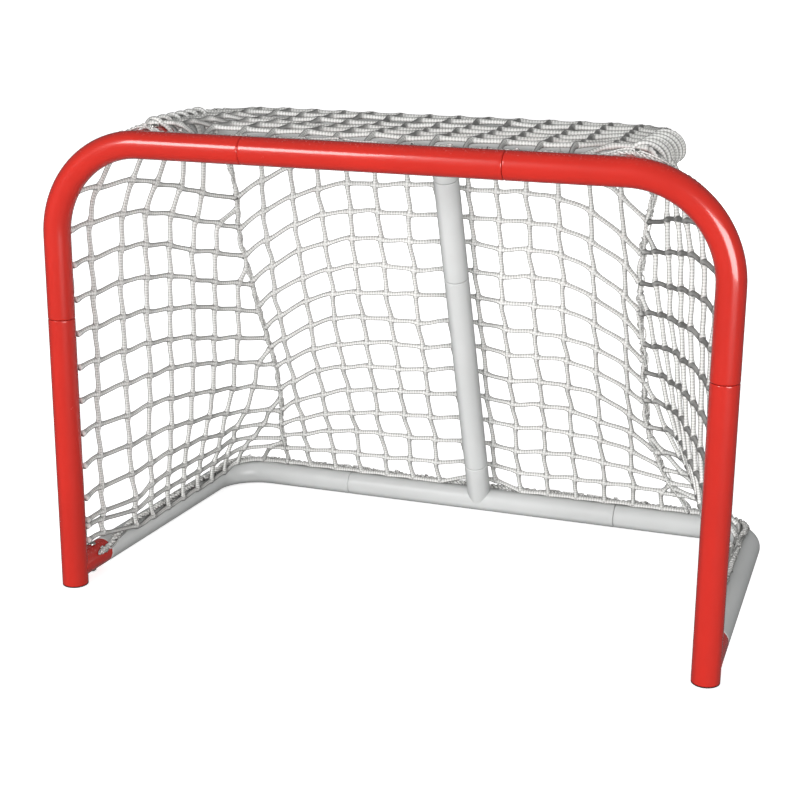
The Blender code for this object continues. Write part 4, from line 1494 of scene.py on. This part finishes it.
BOLT_SEAT = TUBE_RADIUS + 0.0002
BOLT_END = -0.0225
BOLT_SIDES = 32
SHANK_RADIUS = 0.0025
HEAD_FOOT_RADIUS = 0.0056
HEAD_RADIUS = 0.0059
HEAD_RIM = 0.0005
DOME_HEIGHT = 0.0030
DOME_SECTIONS = 8
DOME_STEP = 10.5
NUT_SIDES = 6
NUT_SMOOTH = 20.0
# A nut's outline as (radius, distance below its seat), from its foot upwards
NUT_OUTLINE = (
    (0.0042, 0.0035), (0.0049, 0.0030), (0.0052, 0.0026), (0.0052, 0.0006), (0.0047, 0.0),
)


def bolt_outline():
    """A dome-head bolt's outline as (radius, height), from the shank's end upwards."""
    rim = BOLT_SEAT + HEAD_RIM
    outline = [(SHANK_RADIUS, BOLT_END), (SHANK_RADIUS, BOLT_SEAT)]
    outline += [(HEAD_FOOT_RADIUS, BOLT_SEAT), (HEAD_RADIUS, rim)]
    for step in range(1, DOME_SECTIONS + 1):
        lean = math.radians(90 - step * DOME_STEP)
        outline.append((HEAD_RADIUS * math.sin(lean), rim + DOME_HEIGHT * math.cos(lean)))
    return outline


class GOAL_OT_fasteners(bpy.types.Operator):
    """Model the dome bolts and the nuts that hold the tubes in their stubs"""

    bl_idname = "goal.fasteners"
    bl_label = "Bolts and nuts"

    def execute(self, context):
        nut_outline = [(radius, -BOLT_SEAT - depth) for radius, depth in NUT_OUTLINE]
        places = {"lower_" + side: lower_bolt_place(sign) for sign, side in SIDES}
        places.update({"upper_" + side: upper_bolt_place(sign) for sign, side in SIDES})
        for place, centre in places.items():
            bolt = turned(centre, bolt_outline(), BOLT_SIDES)
            finish_piece(bolt, "dome_bolt_" + place, "zinc_plate", "bolt_" + place)
            nut = turned(centre, nut_outline, NUT_SIDES, NUT_SMOOTH)
            finish_piece(nut, "hex_nut_" + place, "zinc_plate", "nut_" + place)
        return {"FINISHED"}


# Wire clips, and their distances from the floor, the posts and the middle
CLIP_WIRE = 0.0010
CLIP_TIP = 0.8
CLIP_TIP_LENGTH = 0.0003
CLIP_REACH = 0.0043
CLIP_DEPTH = 0.0014
CLIP_STEPS = 14
CLIP_SIDES = 12
CLIP_SMOOTH = 50.0
CLIP_PROBE = 0.001
POST_CLIPS = (0.16, 0.34)
BASE_CLIPS = (0.14, 0.33)
CROSSBAR_CLIP_X = 0.2
BACK_CLIP_X = 0.16


def wire_clip(point_at, axis_at, distance, sign):
    """A wire arch over a border rope."""
    point = point_at(distance)
    axis, _ = axis_at(distance)
    ahead = (point_at(distance + CLIP_PROBE) - point_at(distance - CLIP_PROBE)).normalized()
    outward = (point - axis).normalized()
    point, outward, ahead = [on_side(vector, sign) for vector in (point, outward, ahead)]
    across = ahead.cross(outward).normalized()
    turn_axis = across.cross(outward).normalized()
    foot = point + across * CLIP_REACH - outward * CLIP_DEPTH
    far_side = point - across * CLIP_REACH
    pen = TubePen(foot, outward, CLIP_WIRE * CLIP_TIP, CLIP_SIDES)
    pen.section(foot + outward * CLIP_TIP_LENGTH, CLIP_WIRE)
    pen.section(point + across * CLIP_REACH, CLIP_WIRE)
    pen.bend(point, turn_axis, -math.pi, CLIP_STEPS)
    pen.section(far_side - outward * (CLIP_DEPTH - CLIP_TIP_LENGTH), CLIP_WIRE)
    pen.section(far_side - outward * CLIP_DEPTH, CLIP_WIRE * CLIP_TIP)
    return pen.close(CLIP_SMOOTH)


def clip_plans():
    """Every clip's name, the functions of its rope and its tube, its distance and its side."""
    front = (front_rope_point, front_axis)
    base = (base_rope_point, base_axis)
    plans = []
    for sign, side in SIDES:
        for part, rope, runs in (("post", front, POST_CLIPS), ("base", base, BASE_CLIPS)):
            plans += [(f"{part}_{side}_{n}", *rope, run, sign) for n, run in enumerate(runs, 1)]
    crossbar_run = front_length() - CROSSBAR_CLIP_X
    for part, rope, run in (("crossbar", front, crossbar_run), ("back", base, base_length(BACK_CLIP_X))):
        plans += [(f"{part}_{n}", *rope, run, sign) for n, (sign, _) in enumerate(SIDES, 1)]
    return plans


class GOAL_OT_clips(bpy.types.Operator):
    """Model the wire clips that hold the border ropes on the tubes"""

    bl_idname = "goal.clips"
    bl_label = "Wire clips"

    def execute(self, context):
        for name, *plan in clip_plans():
            finish_piece(wire_clip(*plan), "wire_" + name, "zinc_plate", "clip_" + name)
        return {"FINISHED"}


class GOAL_OT_nets(bpy.types.Operator):
    """Lay the cords of the back net, the top net and the two side nets"""

    bl_idname = "goal.nets"
    bl_label = "Nets"

    def execute(self, context):
        settings = context.scene.goal_net
        finish_piece(back_net(settings).make(), "back_net", "white_cord", "net_back")
        finish_piece(top_net(settings).make(), "top_net", "white_cord", "net_top")
        for sign, side in SIDES:
            net = side_net(sign, settings, SIDE_SEEDS[side])
            finish_piece(net.make(), "side_net_" + side, "white_cord", "net_" + side)
        return {"FINISHED"}


def wound_cord(centres, across, other, radius, turns, phase):
    """A cord wound round a line; the turn count may vary along it."""
    angles = 2 * math.pi * turns + phase
    return centres + radius * (np.cos(angles)[:, None] * across + np.sin(angles)[:, None] * other)


SEAM_WIDTH = 0.0098
LEFT_SEAM_SHARE = 0.62
SEAM_STEPS = 420
SEAM_SEED = 60
# The two selvage cords, as (side, phase), and how far they sway, rise and thicken
SELVAGES = ((1, 0.0), (-1, 0.9))
SWAY_REST = 0.55
SWAY_SWING = 0.45
LIFT_SHARE = 0.35
LIFT_PHASE = 1.2
WAVE_SIZE = 0.0009
WAVE_RATE = 113
WAVE_PHASE = 5
SELVAGE_SHARE = 0.86
CELL_SWELL = 0.16
LUMP_SWELL = 0.06
LUMP_RATE = 230
# The two thinner cords that sew them together: how fast each turns, its phase and its reach
STITCHES = ((1.0, 0.0), (-0.5, 1.9))
STITCH_DRIFT = 0.3
STITCH_WAVE = 0.0006
STITCH_WAVE_RATE = 90
STITCH_DEPTH = 0.0034


def seam_cord(sign, settings, width):
    """Two selvage cords that weave about each other, sewn through by two thinner ones."""
    chance = random.Random(SEAM_SEED + sign)
    run = np.linspace(0, 1, SEAM_STEPS)
    line = np.array([seam_at(sign, t)[:] for t in run])
    line[:, 0] += sign * SEAM_STEP / 2
    heading, across = carried_sides(line)
    other = np.cross(heading, across)
    cells = run * BACK_ROWS * 2 * math.pi
    cords = CordMesh(SEAM_CORD_SIDES)
    for way, phase in SELVAGES:
        reach = SWAY_REST + SWAY_SWING * np.sin(cells / 2 + phase)
        sway = way * reach * (width - settings.cord) / 2
        lift = LIFT_SHARE * settings.cord * way * np.sin(cells / 2 + phase + LIFT_PHASE)
        wave = WAVE_SIZE * np.sin(run * WAVE_RATE + phase * WAVE_PHASE)
        path = line + across * (sway + wave)[:, None] + other * lift[:, None]
        swell = 1 + CELL_SWELL * np.sin(cells + phase) + LUMP_SWELL * np.sin(run * LUMP_RATE + phase)
        radii = settings.cord / 2 * SELVAGE_SHARE * swell
        cords.add(path, radii, chance.uniform(0, LAY_LENGTH))
    turns = run * BACK_ROWS * 2 + STITCH_DRIFT * np.sin(cells)
    out = width / 2 + STITCH_WAVE * np.sin(run * STITCH_WAVE_RATE)
    for rate, phase in STITCHES:
        angles = 2 * math.pi * turns * rate + phase
        beside = across * (out * np.cos(angles))[:, None]
        path = line + beside + other * (STITCH_DEPTH * np.sin(angles))[:, None]
        cords.add(path, settings.lacing / 2, chance.uniform(0, LAY_LENGTH))
    return cords.make()


SHELF_CORD_ANGLES = (33.0, 47.0, 61.0, 75.0, 89.0, 103.0)
SHELF_CORD_GATHER = 0.72
SHELF_CORD_TUCK = 0.05
SHELF_CORD_STEPS = 60
SHELF_CORD_WANDER = 3.0
SHELF_CORD_WANDER_RATE = 9
SHELF_CORD_SWELL = 0.10
SHELF_CORD_SWELL_TURN = 40
SHELF_SEED = 90
SHELF_LACE_PITCH = 0.145
SHELF_LACE_TURNS = (-0.45, 5.5)
SHELF_LACE_LEAN = -14.0
SHELF_LACE_OUTER = 0.37
SHELF_LACE_LIFT = 0.9
SHELF_LACE_STEPS = 60


def shelf_lacing(sign, cord):
    """A cord wound round the shelf's side tube: over the net outside, against the tube inside."""
    path = []
    first, last = SHELF_LACE_TURNS
    snug = TUBE_RADIUS + cord / 2 - EDGE_SEAT
    for turn in np.linspace(first, last, round((last - first) * SHELF_LACE_STEPS)):
        whole = math.floor(turn)
        outer = min((turn - whole) / SHELF_LACE_OUTER, 1.0)
        share = SHELF_LACE_PITCH * (whole + smooth_step(outer))
        over = math.sin(math.pi * outer) ** 0.5 if outer < 1 else 0.0
        room = snug + (cord * SHELF_LACE_LIFT - snug) * over
        path.append(on_side(side_top(share, SHELF_LACE_LEAN + 360 * turn, room), sign)[:])
    return path


def shelf_cords(sign, settings):
    """Cords drawn tight along the shelf's side tube, where the top net meets the side net."""
    chance = random.Random(SHELF_SEED + sign)
    cords = CordMesh(SEAM_CORD_SIDES)
    for angle in SHELF_CORD_ANGLES:
        path = []
        for step in range(SHELF_CORD_STEPS + 1):
            share = step / SHELF_CORD_STEPS
            wander = SHELF_CORD_WANDER * math.sin(share * SHELF_CORD_WANDER_RATE + angle)
            point = on_side(side_top(share, angle + wander), sign)
            gather = smooth_step((share - SHELF_CORD_GATHER) / (1 - SHELF_CORD_GATHER))
            head = seam_at(sign, 1 - SHELF_CORD_TUCK * gather)
            path.append(point.lerp(head, gather)[:])
        places = np.linspace(0, SHELF_CORD_SWELL_TURN, len(path))
        swell = 1 + SHELF_CORD_SWELL * np.sin(places + angle)
        cords.add(path, settings.cord / 2 * swell, chance.uniform(0, LAY_LENGTH))
    lacing = shelf_lacing(sign, settings.cord)
    cords.add(lacing, settings.cord / 2, chance.uniform(0, LAY_LENGTH))
    return cords.make()


class GOAL_OT_seams(bpy.types.Operator):
    """Lay the sewn cords that join the back net to the side nets"""

    bl_idname = "goal.seams"
    bl_label = "Seam cords"

    def execute(self, context):
        settings = context.scene.goal_net
        for sign, side in SIDES:
            width = SEAM_WIDTH if sign > 0 else SEAM_WIDTH * LEFT_SEAM_SHARE
            seam = join([seam_cord(sign, settings, width), shelf_cords(sign, settings)])
            finish_piece(seam, "seam_lacing_" + side, "white_cord", "seam_cord_" + side)
        return {"FINISHED"}


def rope_run(point_at, start, middle, step):
    """Points of a whole rope, both halves, evenly spaced."""
    count = max(2, round((middle - start) / step))
    half = [point_at(start + (middle - start) * n / count) for n in range(count + 1)]
    mirrored = [on_side(point, -1) for point in half[:-1]]
    return np.array([point[:] for point in half + mirrored[::-1]])


FRONT_ROPE_SEED = 71
BASE_ROPE_SEED = 73
ROPE_STEP = 0.0014
# The two strands: their size as a share of the rope's, and their turns, waves and lumps
STRAND_SHARE = 0.30
STRAND_REACH = 0.86
STRAND_TURNS = 62.0
STRAND_DRIFT = 0.2
STRAND_DRIFT_RATE = 77
ROPE_WAVES = ((0.0006, 95, 0), (0.0005, 143, 2))
ROPE_LUMPS = ((0.10, 260), (0.07, 97))
# The hitches of the lacing: where they start and end, their chance shifts and their turns
HITCH_MARGINS = (0.02, 0.01)
HITCH_SHIFT = 0.006
HITCH_LENGTH = 0.007
HITCH_TURNS = 2.0
DRIFT_TURNS = 0.12
LACING_REACH = 0.8
LACING_PHASES = 6
# The cut ends of the lacing
TAIL_LENGTH = 0.0055
TAIL_CHANCE = (0.6, 1.2)
TAIL_OUTWARD = 0.45
TAIL_SAG = 0.4
TAIL_RADII = (1.3, 1.25, 1.1, 1.0, 1.0, 1.1)


def hitch_turns(length, stations):
    """Turns of a lacing cord along a rope: two quick ones at every station, few between."""
    turns = DRIFT_TURNS * length / HITCH_SPACING
    for place in stations:
        share = np.clip((length - place) / HITCH_LENGTH + 0.5, 0, 1)
        turns = turns + HITCH_TURNS * share * share * (3 - 2 * share)
    return turns


def laced_rope(point_at, run, size, settings, seed):
    """Two loosely laid strands with a lacing cord hitched round them at every mesh.

    The run gives where the rope starts and where its middle is.
    """
    chance = random.Random(seed)
    line = rope_run(point_at, *run, ROPE_STEP)
    heading, across = carried_sides(line)
    other = np.cross(heading, across)
    length = run_lengths(line)
    cords = CordMesh()
    wave = sum(reach * np.sin(length * rate + phase) for reach, rate, phase in ROPE_WAVES)
    core = line + across * wave[:, None]
    strand = size * STRAND_SHARE
    turns = length * STRAND_TURNS + STRAND_DRIFT * np.sin(length * STRAND_DRIFT_RATE)
    for phase in (0.0, math.pi):
        path = wound_cord(core, across, other, strand * STRAND_REACH, turns, phase)
        lumps = 1 + sum(swell * np.sin(length * rate + phase) for swell, rate in ROPE_LUMPS)
        cords.add(path, strand * lumps, chance.uniform(0, LAY_LENGTH))
    start_margin, end_margin = HITCH_MARGINS
    stations = np.arange(start_margin, length[-1] - end_margin, settings.hitches)
    stations = stations + np.array([chance.uniform(-HITCH_SHIFT, HITCH_SHIFT) for _ in stations])
    turns = hitch_turns(length, stations)
    reach = size / 2 + settings.lacing / 2 * LACING_REACH
    lace = wound_cord(core, across, other, reach, turns, chance.uniform(0, LACING_PHASES))
    cords.add(lace, settings.lacing / 2)
    for place in stations:
        number = int(np.searchsorted(length, place))
        add_tail(cords, lace[number], core[number], heading[number], settings, chance)
    return cords.make()


def add_tail(cords, start, middle, heading, settings, chance):
    """A short cut end of the lacing, lying along the rope."""
    outward = start - middle
    outward = outward / np.linalg.norm(outward)
    aim = outward * TAIL_OUTWARD + heading * chance.choice((-1, 1))
    size = TAIL_LENGTH * chance.uniform(*TAIL_CHANCE)
    steps = np.linspace(0, 1, len(TAIL_RADII))
    tail = [start + aim * size * t - outward * size * TAIL_SAG * t * t for t in steps]
    cords.add(tail, settings.lacing / 2 * np.array(TAIL_RADII))


class GOAL_OT_ropes(bpy.types.Operator):
    """Lay the border ropes and the lacing that ties the net to them"""

    bl_idname = "goal.ropes"
    bl_label = "Border ropes"

    def execute(self, context):
        settings = context.scene.goal_net
        run = (ROPE_FOOT, front_length())
        rope = laced_rope(front_rope_point, run, settings.rope, settings, FRONT_ROPE_SEED)
        finish_piece(rope, "front_border_rope", "white_cord", "front_rope")
        run = (2 * TUBE_RADIUS, base_length())
        rope = laced_rope(base_rope_point, run, settings.base_rope, settings, BASE_ROPE_SEED)
        finish_piece(rope, "base_border_rope", "white_cord", "base_rope")
        return {"FINISHED"}


CAMERA_PLACE = (0.69001, -2.06086, 0.87929)
CAMERA_YAW = 0.34360
CAMERA_PITCH = 0.28339
CAMERA_ROLL = 0.00715
CAMERA_LENS = 72.49
CAMERA_REACH = 50
SENSOR_WIDTH = 36.0

# Softboxes: name, place, aim, size, watts, and whether they are seen only in reflections
LAMPS = (
    ("key_softbox", (-1.5, -2.7, 1.85), (-0.1, -0.2, 0.5), (1.0, 1.0), 36, True),
    ("strip_softbox", (1.75, -1.9, 0.78), (0.2, -0.2, 0.45), (1.5, 1.1), 50, True),
    ("left_fill", (-2.6, -4.8, 1.35), (0, 0, 0.3), (3.6, 2.4), 186, False),
    ("right_fill", (3.4, -4.2, 1.15), (0, 0, 0.3), (2.4, 2.2), 90, False),
    ("back_fill", (0.6, 4.6, 1.9), (0, 0, 0.3), (3.0, 2.0), 80, False),
)


def add_camera():
    level = math.cos(CAMERA_PITCH)
    ahead = Vector((-math.sin(CAMERA_YAW) * level, math.cos(CAMERA_YAW) * level, -math.sin(CAMERA_PITCH)))
    right = ahead.cross(Z_AXIS).normalized()
    up = right.cross(ahead)
    turned_right = right * math.cos(CAMERA_ROLL) + up * math.sin(CAMERA_ROLL)
    turned_up = up * math.cos(CAMERA_ROLL) - right * math.sin(CAMERA_ROLL)
    rotation = Matrix((turned_right, turned_up, -ahead)).transposed()
    deselect_all()
    bpy.ops.object.camera_add(location=CAMERA_PLACE, rotation=rotation.to_euler())
    camera = bpy.context.object
    camera.data.sensor_width = SENSOR_WIDTH
    camera.data.lens = CAMERA_LENS
    camera.data.clip_end = CAMERA_REACH
    bpy.context.scene.camera = camera


def add_lamp(name, place, target, size, energy, reflected):
    """A rectangular softbox aimed at a point, either seen only in reflections or never in them."""
    deselect_all()
    aim = Vector(target) - Vector(place)
    turn = aim.to_track_quat("-Z", "Y").to_euler()
    bpy.ops.object.light_add(type="AREA", location=place, rotation=turn)
    lamp = bpy.context.object
    lamp.name = name
    lamp.data.shape = "RECTANGLE"
    lamp.data.size, lamp.data.size_y = size
    lamp.data.energy = energy
    lamp.visible_glossy = reflected
    lamp.visible_diffuse = not reflected


WHITE = (1, 1, 1, 1)
FLOOR_COLOUR = (0.86, 0.86, 0.86, 1)
FLOOR_ROUGHNESS = 0.9
FLOOR_SPECULAR = 0.1
FLOOR_LIFT = 0.70
FLOOR_SIZE = 60.0
WORLD_LIGHT = 0.50
WORLD_GLOSS_DROP = 0.35


def floor_material():
    """White paper floor: brighter for the camera, still darkened by the goal's shadow."""
    material = bpy.data.materials.new("studio_floor")
    material.use_nodes = True
    tree = material.node_tree
    shader = tree.nodes["Principled BSDF"]
    shader.inputs["Base Color"].default_value = FLOOR_COLOUR
    shader.inputs["Roughness"].default_value = FLOOR_ROUGHNESS
    shader.inputs["Specular IOR Level"].default_value = FLOOR_SPECULAR
    shader.inputs["Emission Color"].default_value = WHITE
    path = tree.nodes.new("ShaderNodeLightPath")
    lift = multiply(tree, path.outputs["Is Camera Ray"], FLOOR_LIFT)
    tree.links.new(lift, shader.inputs["Emission Strength"])
    return material


def set_world():
    """White for the camera, softer for diffuse light and dim in glossy reflections."""
    world = bpy.data.worlds.new("studio")
    bpy.context.scene.world = world
    world.use_nodes = True
    tree = world.node_tree
    background = tree.nodes["Background"]
    background.inputs["Color"].default_value = WHITE
    path = tree.nodes.new("ShaderNodeLightPath")
    drop = multiply(tree, path.outputs["Is Glossy Ray"], WORLD_GLOSS_DROP)
    mix = tree.nodes.new("ShaderNodeMapRange")
    mix.inputs["To Max"].default_value = 1.0
    tree.links.new(math_node(tree, "SUBTRACT", WORLD_LIGHT, drop), mix.inputs["To Min"])
    tree.links.new(path.outputs["Is Camera Ray"], mix.inputs["Value"])
    tree.links.new(mix.outputs["Result"], background.inputs["Strength"])


class GOAL_OT_stage(bpy.types.Operator):
    """Set out the studio: floor, lamps and camera"""

    bl_idname = "goal.stage"
    bl_label = "Studio"

    def execute(self, context):
        deselect_all()
        bpy.ops.mesh.primitive_plane_add(size=FLOOR_SIZE, location=(0, 0, 0))
        floor = context.object
        floor.name = "studio_floor"
        floor.visible_glossy = False
        floor.data.materials.append(floor_material())
        set_world()
        for lamp in LAMPS:
            add_lamp(*lamp)
        add_camera()
        context.scene.view_settings.view_transform = "Standard"
        return {"FINISHED"}


class GOAL_PT_panel(bpy.types.Panel):
    """Lists the steps that model the goal"""

    bl_idname = "GOAL_PT_panel"
    bl_label = "Street hockey goal"
    bl_space_type = "VIEW_3D"
    bl_region_type = "UI"
    bl_category = "Goal"

    def draw(self, context):
        layout = self.layout
        for attribute, _ in SETTINGS:
            group = getattr(context.scene, attribute)
            box = layout.box()
            for name in group.__annotations__:
                box.prop(group, name)
        for operator in OPERATORS:
            layout.operator(operator.bl_idname)


OPERATORS = (
    GOAL_OT_posts,
    GOAL_OT_top_corners,
    GOAL_OT_crossbar,
    GOAL_OT_base_corners,
    GOAL_OT_tee_tubes,
    GOAL_OT_support,
    GOAL_OT_foot_plugs,
    GOAL_OT_fasteners,
    GOAL_OT_clips,
    GOAL_OT_nets,
    GOAL_OT_seams,
    GOAL_OT_ropes,
    GOAL_OT_stage,
)
# The settings that the scene holds, under their names there
SETTINGS = (
    ("goal_tubes", GoalTubeSettings),
    ("goal_net", GoalNetSettings),
    ("goal_colours", GoalColourSettings),
)
CLASSES = tuple(group for _, group in SETTINGS) + OPERATORS + (GOAL_PT_panel,)


def register():
    for item in CLASSES:
        bpy.utils.register_class(item)
    for attribute, group in SETTINGS:
        setattr(bpy.types.Scene, attribute, PointerProperty(type=group))


def unregister():
    for attribute, _ in reversed(SETTINGS):
        delattr(bpy.types.Scene, attribute)
    for item in reversed(CLASSES):
        bpy.utils.unregister_class(item)


def main():
    register()
    for operator in OPERATORS:
        group, name = operator.bl_idname.split(".")
        result = getattr(getattr(bpy.ops, group), name)()
        if "FINISHED" not in result:
            raise RuntimeError(operator.bl_label + " was not finished")


if __name__ == "__main__":
    main()
